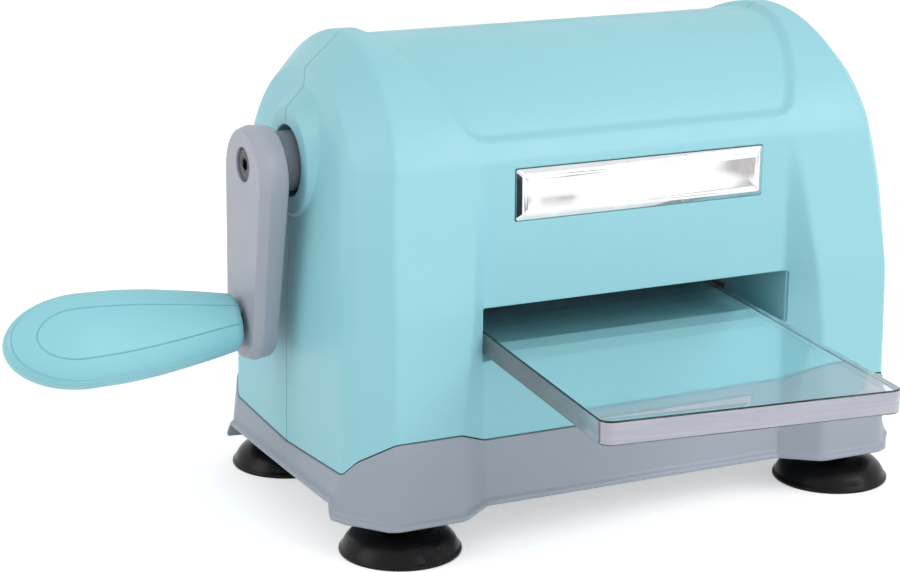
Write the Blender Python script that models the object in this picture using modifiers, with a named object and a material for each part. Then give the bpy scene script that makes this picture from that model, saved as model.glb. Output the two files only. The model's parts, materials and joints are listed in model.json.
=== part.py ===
"""Hand cranked die cutting machine: moulded two-part housing on a suction-cup base.

Metres, +Z up, +X to the right of someone who feeds the plate in, +Y towards the back.
The design frame has the table at z = 0 and the seam between the housing halves at y = 0.
"""
import math

import bmesh
import bpy
from mathutils import Matrix, Vector

# Clearances
FIT = 0.0003                     # between pieces that touch
SEAM = 0.0004                    # between the two housing halves
OVERRUN = 0.004                  # how far a cut runs past a face
FLUSH_LAP = 0.0008               # how far a moulded feature runs into the wall that carries it
# Facets round a turned form, from the largest to the smallest
BOSS_STEPS = 32
TURN_STEPS = 24
HOLE_STEPS = 16
SMALL_STEPS = 12
THIN_STEPS = 8
CORNER_STEPS = 3
# Turns that point the top of a turned piece along an axis
FACE_RIGHT = (0, math.radians(90), 0)
FACE_LEFT = (0, math.radians(-90), 0)
FACE_BACK = (math.radians(-90), 0, 0)
UPRIGHT = (0, 0, 0)
CORNERS = ("front_left", "front_right", "rear_left", "rear_right")
LEVEL_CORNERS = ("low_front", "low_rear", "high_front", "high_rear")

# Housing: arch, front face and flared pillars
CREST_Z = 0.2020
ARCH_R = 0.0720
ARCH_Z = CREST_Z - ARCH_R
SHOULDER_ANGLE = math.radians(21.7)
SHOULDER_Z = ARCH_Z + ARCH_R * math.sin(SHOULDER_ANGLE)
FACE_Y = ARCH_R * math.cos(SHOULDER_ANGLE)
PILLAR_PROUD = 0.0121            # how far the pillars stand out from the front face
PILLAR_Y = FACE_Y + PILLAR_PROUD
FACE_HALF = 0.0705
PILLAR_RAMP = 0.0145
PILLAR_IN_X = FACE_HALF + PILLAR_RAMP
PILLAR_WIDTH = 0.0180
EDGE_SPREAD = 0.0070
EDGE_FLARE = 0.0048
CHAMFER_RUN = 0.0104
CREST_CHAMFER_RUN = 0.0159
EDGE_CREST_X = PILLAR_IN_X + PILLAR_WIDTH           # front edge of the end chamfer
EDGE_SHOULDER_X = EDGE_CREST_X + EDGE_SPREAD
EDGE_FOOT_X = EDGE_SHOULDER_X + EDGE_FLARE
END_CREST_X = EDGE_CREST_X + CREST_CHAMFER_RUN      # rear edge of the end chamfer
END_SHOULDER_X = EDGE_SHOULDER_X + CHAMFER_RUN
END_FOOT_X = EDGE_FOOT_X + CHAMFER_RUN
BULGE = 0.0036
BULGE_FOOT_X = END_FOOT_X + BULGE                   # middle of the end face
END_FOOT_IN = 0.0140
END_FOOT_Y = PILLAR_Y - END_FOOT_IN
END_SHOULDER_IN = 0.0143
END_SHOULDER_Y = FACE_Y - END_SHOULDER_IN
CORNER_IN = 0.0080
CORNER_Y = END_FOOT_Y - CORNER_IN
END_CREST_DROP = 0.0142
END_CREST_Z = CREST_Z - END_CREST_DROP
END_ARCH_IN = 0.0120
END_ARCH_R = ARCH_R - END_ARCH_IN
WALL = 0.0025
ARCH_STEPS = 9
HOLLOW_STEPS = 5
# How much of the end face's bulge is reached at its corner and half way to the seam
CORNER_BULGE_SHARE = 0.85
HALF_BULGE_SHARE = 0.97
# How far down the middle of the end face, and how much of its spread is reached there
END_FACE_SHARES = ((0.0, 0.0), (0.04, 0.03), (0.15, 0.36), (0.24, 0.55), (0.39, 0.72), (0.72, 0.94), (1.0, 1.0))
# How far down from shoulder to foot, and how much of the flare is reached there
FLARE_SHARES = ((0.0, 0.0), (0.12, 0.20), (0.24, 0.42), (0.36, 0.61), (0.58, 0.94), (1.0, 1.0))
# The same drop, and how much of the end chamfer's spread is reached there
SPREAD_SHARES = ((0.0, 0.0), (0.12, 0.30), (0.24, 0.54), (0.36, 0.70), (0.58, 0.92), (1.0, 1.0))

# Foot line of the housing, which the base follows
FOOT_FACE_Z = 0.0440
FOOT_PILLAR_Z = 0.0517
FOOT_END_EDGE_Z = 0.0420
FOOT_CORNER_Z = 0.0345
FOOT_MID_Z = 0.0316
FOOT_GAP = 0.0005

# Recessed panel over the drum
PANEL_PAST_RAMP = 0.0090
PANEL_HALF = PILLAR_IN_X + PANEL_PAST_RAMP
PANEL_ABOVE_SHOULDER = 0.0074
PANEL_LOW_Z = SHOULDER_Z + PANEL_ABOVE_SHOULDER
PANEL_DEPTH = 0.0025
PANEL_SLOPE = 0.0045
PANEL_CORNER_R = 0.0150
PANEL_STEPS = 14
# Places across the corner of the panel, as shares of its radius
CORNER_SHARES = (0.30, 0.50, 0.75, 1.0)

# Feed slot, front and rear, with its moulded sleeve
SLOT_PAST_FACE = 0.0013
SLOT_HALF = FACE_HALF + SLOT_PAST_FACE
SLOT_LOW_Z = 0.0766
SLOT_HEIGHT = 0.0219
SLOT_TOP_Z = SLOT_LOW_Z + SLOT_HEIGHT
SLEEVE_WALL = 0.0018

# Crank boss on the left end
BOSS_SUNK = 0.0004
BOSS_OUT = 0.0083
BOSS_BASE_R = 0.0310
BOSS_BASE_X = END_CREST_X - BOSS_SUNK
BOSS_FACE_R = 0.0215
BOSS_FACE_X = END_CREST_X + BOSS_OUT
HUB_R = 0.0123
HUB_HOLE_GAP = 0.0024
HUB_HOLE_R = HUB_R + HUB_HOLE_GAP

# Housing screw posts
POST_R = 0.0038
POST_HIGH_IN = 0.0050
POST_HIGH_X = EDGE_CREST_X - POST_HIGH_IN
POST_HIGH_DROP = 0.0200
POST_HIGH_Z = CREST_Z - POST_HIGH_DROP
POST_LOW_IN = 0.0088
POST_LOW_X = EDGE_FOOT_X - POST_LOW_IN
POST_LOW_RISE = 0.0083
POST_LOW_Z = FOOT_PILLAR_Z + POST_LOW_RISE
PILOT_R = 0.0018
HOUSING_SCREW_R = 0.0015
HOUSING_SCREW_HEAD_R = 0.0027
HOUSING_SCREW_HEAD_H = 0.0020
HOUSING_SCREW_REACH = 0.0110
HEAD_SEAT_Y = 0.0130

# Shape of every pan head, as shares of its radius and height
PAN_TOP_SHARE = 0.8
PAN_SIDE_SHARE = 0.6

# Nameplate
NAMEPLATE_HALF = 0.0572
NAMEPLATE_BELOW_SHOULDER = 0.0030
NAMEPLATE_HEIGHT = 0.0208
NAMEPLATE_TOP_Z = SHOULDER_Z - NAMEPLATE_BELOW_SHOULDER
NAMEPLATE_LOW_Z = NAMEPLATE_TOP_Z - NAMEPLATE_HEIGHT
NAMEPLATE_SUNK = 0.0012
NAMEPLATE_THICK = 0.0030
NAMEPLATE_BEVEL = 0.0022
NAMEPLATE_RISE = 0.0014

# Base tray
BASE_PROUD = 0.0006
BASE_WALL = 0.0030
BASE_LOW_Z = 0.0159
BASE_END_LOW_Z = 0.0220
BASE_STEP_RUN = 0.0025
LIP_H = 0.0024
LIP_OUT = 0.0020
FLOOR_LOW_Z = 0.0225
FLOOR_THICK = 0.0030
FLOOR_TOP_Z = FLOOR_LOW_Z + FLOOR_THICK

# Suction cups
CUP_IN_X = 0.0108
CUP_IN_Y = 0.0195
CUP_X = EDGE_FOOT_X - CUP_IN_X
CUP_Y = PILLAR_Y - CUP_IN_Y
CUP_R = 0.0250
CUP_RIM_H = 0.0016
CUP_RIM_FLAT = 0.0022
CUP_HOLLOW = 0.0042
CUP_SHOULDER_R = 0.0165
CUP_SHOULDER_Z = 0.0098
CUP_NECK_R = 0.0080
CUP_STEPS = 20
# Places down the cup's dome, as shares of its run outwards and of its drop
CUP_DOME_SHARES = ((0.50, 0.22), (0.85, 0.62))
STUD_R = 0.0030
STUD_HEAD_R = 0.0060
STUD_HEAD_H = 0.0035

# Gears
MODULE = 0.0020
PRESSURE_ANGLE = math.radians(20)
BACKLASH = 0.00035
PINION_TEETH = 14
DRIVE_TEETH = 32
ROLLER_TEETH = 20
GEAR_FACE = 0.0080
ROOT_SHARE = 1.25
ROOT_START_SHARE = 0.2
ROOT_FLARE_SHARE = 0.15
FLANK_POINTS = 2

# Cutting platform plate
PLATE_WIDTH = 0.1206
PLATE_LENGTH = 0.2050
PLATE_THICK = 0.0093
PLATE_ABOVE_SILL = 0.0032
PLATE_MID_Z = SLOT_LOW_Z + PLATE_ABOVE_SILL + PLATE_THICK / 2
PLATE_SKEW = math.radians(6.3)
PLATE_CORNER_R = 0.0050
PLATE_EDGE = 0.0006
PLATE_PAST_NIP = 0.0168          # how far its rear left corner has gone past the rollers' axes
PLATE_SIDE_GAP = 0.0006

# Rollers and shafts
NIP = PLATE_THICK + 2 * FIT
ROLLER_PITCH_R = ROLLER_TEETH * MODULE / 2
ROLLER_R = ROLLER_PITCH_R - NIP / 2
ROLLER_PLAY = 0.0035
FRAME_PAST_SLOT = 0.0042
FRAME_IN_X = SLOT_HALF + FRAME_PAST_SLOT
ROLLER_HALF = FRAME_IN_X - ROLLER_PLAY
SLEEVE_TO_ROLLER = 0.0050
SLEEVE_IN_Y = ROLLER_R + SLEEVE_TO_ROLLER
JOURNAL_R = 0.0060
UPPER_Z = PLATE_MID_Z + ROLLER_PITCH_R
LOWER_Z = PLATE_MID_Z - ROLLER_PITCH_R
CRANK_Z = UPPER_Z + (PINION_TEETH + DRIVE_TEETH) * MODULE / 2
CLIP_THICK = 0.0010
CLIP_OUT = 0.0030
SHAFT_END = 0.0015

# Side frames, gear plate and what joins them
FRAME_THICK = 0.0030
FRAME_HALF_Y = 0.0320
FRAME_ABOVE_CRANK = 0.0145
FRAME_TOP_Z = CRANK_Z + FRAME_ABOVE_CRANK
FRAME_FOOT = 0.0150
FRAME_CORNER_R = 0.0080
BUSH_WALL = 0.0024
BUSH_R = JOURNAL_R + FIT + BUSH_WALL
BUSH_FLANGE_OUT = 0.0018
BUSH_FLANGE_R = BUSH_R + BUSH_FLANGE_OUT
BUSH_FLANGE = 0.0015
ROD_R = 0.0040
ROD_Y = 0.0230
ROD_ABOVE_FLOOR = 0.0145
ROD_BELOW_CRANK = 0.0144
ROD_LOW_Z = FLOOR_TOP_Z + ROD_ABOVE_FLOOR
ROD_HIGH_Z = CRANK_Z - ROD_BELOW_CRANK
FRAME_SCREW_R = 0.0018
FRAME_SCREW_HEAD_R = 0.0034
FRAME_SCREW_HEAD_H = 0.0022
FRAME_SCREW_LENGTH = 0.0090
GEAR_BAY = 0.0370
GEAR_PLATE_X = FRAME_IN_X + GEAR_BAY
SPACER_Y = 0.0260
SPACER_BELOW_ROLLER = 0.0330
SPACER_ABOVE_CRANK = 0.0085
SPACER_LOW_Z = UPPER_Z - SPACER_BELOW_ROLLER
SPACER_HIGH_Z = CRANK_Z + SPACER_ABOVE_CRANK
GEAR_PLATE_BELOW = 0.0175
GEAR_PLATE_LOW_Z = SPACER_LOW_Z - GEAR_PLATE_BELOW
GEAR_GAP = 0.0055
FOOT_SCREW_Y = 0.0230

# Crank
CRANK_R = 0.0050
CRANK_PAST_FRAME = 0.0060
CRANK_IN_X = FRAME_IN_X - CRANK_PAST_FRAME
ARM_TO_BOSS = 0.0064
ARM_THICK = 0.0126
ARM_BACK_X = BOSS_FACE_X + ARM_TO_BOSS
ARM_FACE_X = ARM_BACK_X + ARM_THICK
ARM_HUB_R = 0.0206
ARM_HUB_DROP = 0.0050
ARM_GRIP_R = 0.0164
ARM_LENGTH = 0.0672
ARM_TILT = math.radians(5.0)
ARM_CHAMFER = 0.0040
ARM_CHAMFER_IN = 0.0014
ARM_BACK_EDGE = 0.0010
HUB_IN_X = GEAR_PLATE_X + FRAME_THICK + BUSH_FLANGE + 2 * FIT
BOLT_R = 0.0070
BOLT_SUNK = 0.0014
BOLT_HEAD_H = 0.0040
BOLT_SHANK_R = 0.0030
BOLT_SHANK = 0.0120
BOLT_HEX_R = 0.0027
BOLT_HEX_DEPTH = 0.0025
SHAFT_STEP_GAP = 0.0006

# Handle
GRIP_TO_ARM = 0.0023
GRIP_ROOT_X = ARM_FACE_X + GRIP_TO_ARM
GRIP_LENGTH = 0.0972
GRIP_ROOT_HALF = 0.0116
GRIP_WIDE_HALF = 0.0197
GRIP_ROOT_THICK = 0.0100
GRIP_THICK = 0.0110
GRIP_ROLL = math.radians(35)
GRIP_SECTION_POINTS = 20
GRIP_SQUARE_SHARE = 2.4
GRIP_EDGE_SHARE = 0.8
# Places along the grip, then the width and the thickness reached there
GRIP_SHARES = ((0.0, 0.0, 0.0), (0.12, 0.30, 0.12), (0.26, 0.60, 0.30), (0.40, 0.84, 0.55),
               (0.54, 0.97, 0.80), (0.66, 1.0, 0.95))
GRIP_TIP_SHARES = (0.25, 0.48, 0.68, 0.84, 0.94, 0.992)
INLAY_ROOT_HALF = 0.0038
INLAY_WIDE_HALF = 0.0105
INLAY_LENGTH = 0.0852
INLAY_WIDE_AT = 0.0680
INLAY_DEPTH = 0.0022
INLAY_STEPS = 10
PARTING = -0.0050
PIN_R = 0.0040
PIN_SUNK = 0.0090
PIN_REACH = 0.0560
PIN_HEAD_R = 0.0062
PIN_HEAD_H = 0.0025

GRIP_TIP_X = GRIP_ROOT_X + GRIP_LENGTH

def clear_scene():
    for item in list(bpy.data.objects):
        bpy.data.objects.remove(item, do_unlink=True)


def new_collection(name):
    group = bpy.data.collections.new(name)
    bpy.context.scene.collection.children.link(group)
    return group


def material(name, colour, roughness, metallic=0.0, transmission=0.0):
    made = bpy.data.materials.new(name)
    made.use_nodes = True
    shader = made.node_tree.nodes["Principled BSDF"]
    shader.inputs["Base Color"].default_value = (*colour, 1.0)
    shader.inputs["Roughness"].default_value = roughness
    shader.inputs["Metallic"].default_value = metallic
    shader.inputs["Transmission Weight"].default_value = transmission
    made.diffuse_color = (*colour, 1.0)
    return made


def empty(name, location, parent=None):
    made = bpy.data.objects.new(name, None)
    PARTS.objects.link(made)
    made.parent = parent
    made.location = location
    return made


def place(made, parent, location=(0, 0, 0), rotation=(0, 0, 0)):
    made.parent = parent
    made.location = location
    made.rotation_euler = rotation
    return made


def object_from(name, bm, finish, smooth_angle=30):
    bmesh.ops.recalc_face_normals(bm, faces=bm.faces)
    mesh = bpy.data.meshes.new(name)
    bm.to_mesh(mesh)
    bm.free()
    made = bpy.data.objects.new(name, mesh)
    if finish is None:
        CUTTERS.objects.link(made)
        made.hide_render = True
        made.display_type = "WIRE"
    else:
        mesh.materials.append(finish)
        mesh.shade_smooth()
        mesh.set_sharp_from_angle(angle=math.radians(smooth_angle))
        PARTS.objects.link(made)
    return made


def cut(target, cutter, operation="DIFFERENCE"):
    step = target.modifiers.new(cutter.name, "BOOLEAN")
    step.operation = operation
    step.solver = "EXACT"
    step.object = cutter
    return step


def box(name, low, high, finish=None):
    bm = bmesh.new()
    bmesh.ops.create_cube(bm, size=1)
    low = Vector(low)
    high = Vector(high)
    bmesh.ops.scale(bm, vec=high - low, verts=bm.verts)
    bmesh.ops.translate(bm, vec=(low + high) / 2, verts=bm.verts)
    return object_from(name, bm, finish)


def rod(name, radius, start, end, finish=None, steps=SMALL_STEPS, end_radius=None):
    """A cylinder or cone between two points."""
    start = Vector(start)
    end = Vector(end)
    along = end - start
    turn = along.to_track_quat("Z", "Y").to_matrix().to_4x4()
    bm = bmesh.new()
    bmesh.ops.create_cone(bm, cap_ends=True, segments=steps, radius1=radius,
                          radius2=radius if end_radius is None else end_radius, depth=along.length,
                          matrix=Matrix.Translation((start + end) / 2) @ turn)
    return object_from(name, bm, finish)


def skin(name, rings, finish, closed=True, smooth_angle=30):
    """A solid over rings of matched points, capped at both ends."""
    bm = bmesh.new()
    rows = [[bm.verts.new(point) for point in ring] for ring in rings]
    count = len(rows[0])
    for low, high in zip(rows, rows[1:]):
        for index in range(count if closed else count - 1):
            after = (index + 1) % count
            bm.faces.new((low[index], low[after], high[after], high[index]))
    bm.faces.new(list(reversed(rows[0])))
    bm.faces.new(rows[-1])
    return object_from(name, bm, finish, smooth_angle)


def turned(name, profile, finish, steps=TURN_STEPS, loop=False):
    """A profile of (radius, height) turned about Z; it runs down its outer side."""
    mesh = bpy.data.meshes.new(name)
    links = [(index, index + 1) for index in range(len(profile) - 1)]
    if loop:
        links.append((len(profile) - 1, 0))
    mesh.from_pydata([(radius, 0, height) for radius, height in profile], links, [])
    made = bpy.data.objects.new(name, mesh)
    spin = made.modifiers.new("turn", "SCREW")
    spin.axis = "Z"
    spin.steps = steps
    spin.render_steps = steps
    spin.use_merge_vertices = True
    spin.merge_threshold = 0.00001
    mesh.materials.append(finish)
    PARTS.objects.link(made)
    return made


def copies(names, profile, finish, places, parent, steps=THIN_STEPS, loop=False):
    """One turned piece for each name, each with its own place and turn."""
    for name, (location, turn) in zip(names, places):
        place(turned(name, profile, finish, steps=steps, loop=loop), parent, location, turn)


def reached(shares, place_share):
    """Reads a table of shares between its rows."""
    for (start, low), (end, high) in zip(shares, shares[1:]):
        if place_share <= end:
            return low + (high - low) * (place_share - start) / (end - start)
    return shares[-1][1]


def pillar_y(z):
    """How far out the pillar's face stands at a height below the shoulder."""
    drop = (SHOULDER_Z - z) / (SHOULDER_Z - FOOT_PILLAR_Z)
    return FACE_Y + (PILLAR_Y - FACE_Y) * reached(FLARE_SHARES, max(0.0, min(1.0, drop)))


def end_face_x(z):
    """The middle of the end face, which bulges past its edges."""
    drop = (END_CREST_Z - z) / (END_CREST_Z - FOOT_MID_Z)
    return END_CREST_X + (BULGE_FOOT_X - END_CREST_X) * reached(END_FACE_SHARES, max(0.0, min(1.0, drop)))


def housing_columns(row_share, arch_angle, inset, arch_inset):
    """Points from the middle face to the end face, at one row; the last is on the seam."""
    shoulder = SHOULDER_Z
    if arch_angle is None:
        spread = reached(SPREAD_SHARES, row_share)
        pillar_z = shoulder - (shoulder - FOOT_PILLAR_Z) * row_share
        edge_x = EDGE_SHOULDER_X + (EDGE_FOOT_X - EDGE_SHOULDER_X) * spread
        end_x = END_SHOULDER_X + (END_FOOT_X - END_SHOULDER_X) * spread
        end_y = END_SHOULDER_Y + (END_FOOT_Y - END_SHOULDER_Y) * spread
        face_z = shoulder - (shoulder - FOOT_FACE_Z) * row_share
        end_z = shoulder - (shoulder - FOOT_END_EDGE_Z) * row_share
        corner_z = shoulder - (shoulder - FOOT_CORNER_Z) * row_share
        mid_z = shoulder - (shoulder - FOOT_MID_Z) * row_share
        face_y = FACE_Y - inset
        front_y = pillar_y(pillar_z) - inset
    else:
        turn = (arch_angle - SHOULDER_ANGLE) / (math.radians(90) - SHOULDER_ANGLE)
        radius = ARCH_R - arch_inset
        face_y = radius * math.cos(arch_angle)
        front_y = face_y
        face_z = ARCH_Z + radius * math.sin(arch_angle)
        pillar_z = face_z
        edge_x = EDGE_SHOULDER_X + (EDGE_CREST_X - EDGE_SHOULDER_X) * math.sin(math.radians(90) * turn)
        end_x = END_SHOULDER_X + (END_CREST_X - END_SHOULDER_X) * turn
        end_centre = END_CREST_Z - END_ARCH_R
        end_start = math.asin((shoulder - end_centre) / END_ARCH_R)
        end_angle = end_start + (math.radians(90) - end_start) * turn
        end_y = END_SHOULDER_Y * math.cos(end_angle) / math.cos(end_start)
        end_z = end_centre + (END_ARCH_R - arch_inset) * math.sin(end_angle)
        corner_z = end_z
        mid_z = end_z
    end_y = max(end_y - inset, 0.0)
    end_x = end_x - inset
    bulge = end_face_x(mid_z) - inset
    corner_share = CORNER_Y / END_FOOT_Y
    corner_x = end_x + (bulge - end_x) * CORNER_BULGE_SHARE
    half_x = end_x + (bulge - end_x) * HALF_BULGE_SHARE
    return [(0.0, face_y, face_z), (FACE_HALF, face_y, face_z), (PILLAR_IN_X, front_y, pillar_z),
            (edge_x - inset / 2, front_y, pillar_z), (end_x, end_y, end_z),
            (corner_x, end_y * corner_share, corner_z), (half_x, end_y / 2, (corner_z + mid_z) / 2),
            (bulge, 0.0, mid_z)]


def housing_solid(name, side, inset, arch_inset, seam_y, drop, steps, finish=None):
    """One half of the housing's form as a closed solid; side is -1 in front and 1 behind."""
    rows = [housing_columns(share, None, inset, arch_inset)
            for share, _ in reversed(FLARE_SHARES)]
    if drop:
        rows.insert(0, [(x, y, z - drop) for x, y, z in rows[0]])
    for step in range(1, steps + 1):
        angle = SHOULDER_ANGLE + (math.radians(90) - SHOULDER_ANGLE) * step / steps
        rows.append(housing_columns(None, angle, inset, arch_inset))
    bm = bmesh.new()
    grid = []
    for row in rows:
        half = [(x, side * max(y, seam_y) if seam_y > 0 else side * y, z) for x, y, z in row]
        left = [(-x, y, z) for x, y, z in reversed(half[1:])]
        grid.append([bm.verts.new(point) for point in left + half])
    if seam_y <= 0:
        for line in grid:
            for vertex in (line[0], line[-1]):
                vertex.co.y = side * seam_y
        for vertex in grid[-1]:
            vertex.co.y = side * seam_y
    foot = [bm.verts.new((vertex.co.x, side * seam_y, vertex.co.z)) for vertex in grid[0]]
    for low, high in zip(grid, grid[1:]):
        for index in range(len(low) - 1):
            bm.faces.new((low[index], low[index + 1], high[index + 1], high[index]))
    for index in range(len(foot) - 1):
        bm.faces.new((foot[index], foot[index + 1], grid[0][index + 1], grid[0][index]))
    left_edge = [line[0] for line in grid[1:-1]]
    right_edge = [line[-1] for line in grid[1:-1]]
    bm.faces.new([grid[0][0]] + foot[1:-1] + [grid[0][-1]] + right_edge
                 + list(reversed(grid[-1])) + list(reversed(left_edge)))
    bmesh.ops.remove_doubles(bm, verts=bm.verts, dist=0.00002)
    bmesh.ops.dissolve_degenerate(bm, edges=bm.edges, dist=0.00001)
    return object_from(name, bm, finish)


def panel_cutter():
    """Takes the shallow panel out of the drum, with sloping sides and rounded lower corners."""
    low_angle = math.asin((PANEL_LOW_Z - ARCH_Z) / ARCH_R)
    length = ARCH_R * (math.radians(90) - low_angle)
    above = PANEL_DEPTH / 2
    slope = PANEL_SLOPE / PANEL_DEPTH
    flat_half = PANEL_HALF - PANEL_CORNER_R
    floor_corner = PANEL_CORNER_R - PANEL_SLOPE
    places = [-above * slope, 0.0]
    places += [PANEL_CORNER_R * share for share in CORNER_SHARES]
    plain = length - PANEL_CORNER_R
    half_steps = PANEL_STEPS // 2
    places += [PANEL_CORNER_R + plain * step / half_steps for step in range(1, half_steps + 1)]

    def round_half(run, radius, half):
        inside = max(0.0, radius - run)
        return half - radius + math.sqrt(max(0.0, radius ** 2 - inside ** 2))

    rings = []
    stations = [(spot, False) for spot in places] + [(spot, True) for spot in reversed(places[:-1])]
    for spot, behind in stations:
        angle = low_angle + spot / ARCH_R
        depth = PANEL_DEPTH * min(1.0, spot / PANEL_SLOPE)
        rim = flat_half if spot <= 0 else round_half(spot, PANEL_CORNER_R, PANEL_HALF)
        run = spot - PANEL_SLOPE
        floor = flat_half if run <= 0 else round_half(run, floor_corner, PANEL_HALF - PANEL_SLOPE)
        way = 1 if behind else -1
        ring = []
        for radius, half in ((ARCH_R + above, rim + above * slope), (ARCH_R - depth, floor)):
            y = way * radius * math.cos(angle)
            z = ARCH_Z + radius * math.sin(angle)
            ring.append(((-half, y, z), (half, y, z)))
        rings.append([ring[0][0], ring[1][0], ring[1][1], ring[0][1]])
    return skin("panel_cutter", rings, None)


def post_end_y(z):
    """Where a screw post ends, inside the wall that it grows from."""
    if z > SHOULDER_Z:
        radius = ARCH_R - WALL
        return math.sqrt(radius ** 2 - (z - ARCH_Z) ** 2)
    return pillar_y(z) - WALL / 2


def post_places():
    return [(way * x, z) for x, z in ((POST_HIGH_X, POST_HIGH_Z), (POST_LOW_X, POST_LOW_Z))
            for way in (-1, 1)]


def housing_half(name, side, finish):
    """Moulded half shell with its slot sleeve, crank boss and screw posts."""
    shell = housing_solid(name, side, 0.0, 0.0, SEAM / 2, 0.0, ARCH_STEPS, finish)
    hollow = housing_solid(name + "_hollow", side, WALL, WALL + PANEL_DEPTH, -OVERRUN, OVERRUN * 4,
                           HOLLOW_STEPS)
    cut(shell, hollow)
    boss = rod(name + "_boss", BOSS_BASE_R, (-BOSS_BASE_X, 0, CRANK_Z), (-BOSS_FACE_X, 0, CRANK_Z),
               steps=BOSS_STEPS, end_radius=BOSS_FACE_R)
    cut(shell, boss, "UNION")
    sleeve_low = SLOT_LOW_Z - SLEEVE_WALL
    sleeve_top = SLOT_TOP_Z + SLEEVE_WALL
    sleeve_half = SLOT_HALF + SLEEVE_WALL
    wall_y = FACE_Y - WALL / 2
    ends = sorted((side * SLEEVE_IN_Y, side * wall_y))
    sleeve = box(name + "_sleeve", (-sleeve_half, ends[0], sleeve_low), (sleeve_half, ends[1], sleeve_top))
    cut(shell, sleeve, "UNION")
    for index, (x, z) in enumerate(post_places()):
        post = rod(name + "_post_%d" % index, POST_R, (x, 0, z), (x, side * post_end_y(z), z), steps=THIN_STEPS)
        cut(shell, post, "UNION")
        if side < 0:
            pilot = rod(name + "_pilot_%d" % index, PILOT_R, (x, OVERRUN, z),
                        (x, -HOUSING_SCREW_REACH - FIT, z), steps=THIN_STEPS)
            cut(shell, pilot)
        else:
            through = rod(name + "_through_%d" % index, PILOT_R, (x, -OVERRUN, z), (x, HEAD_SEAT_Y + FIT, z),
                          steps=THIN_STEPS)
            cut(shell, through)
            well = rod(name + "_well_%d" % index, HOUSING_SCREW_HEAD_R + FIT, (x, HEAD_SEAT_Y, z),
                       (x, PILLAR_Y + OVERRUN, z), steps=THIN_STEPS)
            cut(shell, well)
    ends = sorted((side * (SLEEVE_IN_Y - OVERRUN), side * (FACE_Y + OVERRUN)))
    slot = box(name + "_slot", (-SLOT_HALF, ends[0], SLOT_LOW_Z), (SLOT_HALF, ends[1], SLOT_TOP_Z))
    cut(shell, slot)
    bore = rod(name + "_bore", HUB_HOLE_R, (-BOSS_BASE_X + OVERRUN, 0, CRANK_Z),
               (-BOSS_FACE_X - OVERRUN, 0, CRANK_Z), steps=TURN_STEPS)
    cut(shell, bore)
    cut(shell, PANEL_CUTTER)
    if side < 0:
        pocket = box("nameplate_pocket",
                     (-NAMEPLATE_HALF - FIT, -FACE_Y - OVERRUN, NAMEPLATE_LOW_Z - FIT),
                     (NAMEPLATE_HALF + FIT, -FACE_Y + NAMEPLATE_SUNK + FIT, NAMEPLATE_TOP_Z + FIT))
        cut(shell, pocket)
    far = CREST_Z + OVERRUN
    ends = sorted((side * SEAM / 2, -side * far))
    beyond = box(name + "_beyond", (-far, ends[0], -OVERRUN), (far, ends[1], far))
    cut(shell, beyond)
    return shell


def nameplate(finish):
    """A plain bevelled plate set into the front face, with nothing on it."""
    back_y = -FACE_Y + NAMEPLATE_SUNK
    edge_y = back_y - NAMEPLATE_THICK + NAMEPLATE_RISE
    face_y = back_y - NAMEPLATE_THICK
    rings = []
    for y, inset in ((back_y, 0.0), (edge_y, 0.0), (face_y, NAMEPLATE_BEVEL)):
        half = NAMEPLATE_HALF - inset
        low = NAMEPLATE_LOW_Z + inset
        top = NAMEPLATE_TOP_Z - inset
        rings.append([(-half, y, low), (half, y, low), (half, y, top), (-half, y, top)])
    return skin("nameplate", rings, finish)


def base_outline(spread):
    """Plan points of the base from the middle front to the middle of the right end."""
    bulge = BULGE_FOOT_X - END_FOOT_X
    corner_x = END_FOOT_X + bulge * CORNER_BULGE_SHARE + spread
    half_x = END_FOOT_X + bulge * HALF_BULGE_SHARE + spread
    return [(0.0, FACE_Y + spread), (FACE_HALF, FACE_Y + spread), (PILLAR_IN_X, PILLAR_Y + spread),
            (EDGE_FOOT_X, PILLAR_Y + spread), (END_FOOT_X + spread, END_FOOT_Y + spread / 2),
            (corner_x, CORNER_Y), (corner_x, CORNER_Y - BASE_STEP_RUN), (half_x, CORNER_Y / 2),
            (BULGE_FOOT_X + spread, 0.0)]


def all_round(quarter):
    """Mirrors a quarter outline into a full loop."""
    front_right = [(x, -y) for x, y in quarter]
    back_right = [(x, y) for x, y in reversed(quarter[:-1])]
    back_left = [(-x, y) for x, y in quarter[1:]]
    front_left = [(-x, -y) for x, y in reversed(quarter[1:-1])]
    return front_right + back_right + back_left + front_left


def base_ring(spread, levels):
    """One loop round the base, each point at the height that its quarter gives it."""
    plan = all_round(base_outline(spread))
    heights = all_round(list(zip(levels, levels)))
    return [(x, y, abs(z)) for (x, y), (z, _) in zip(plan, heights)]


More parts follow.
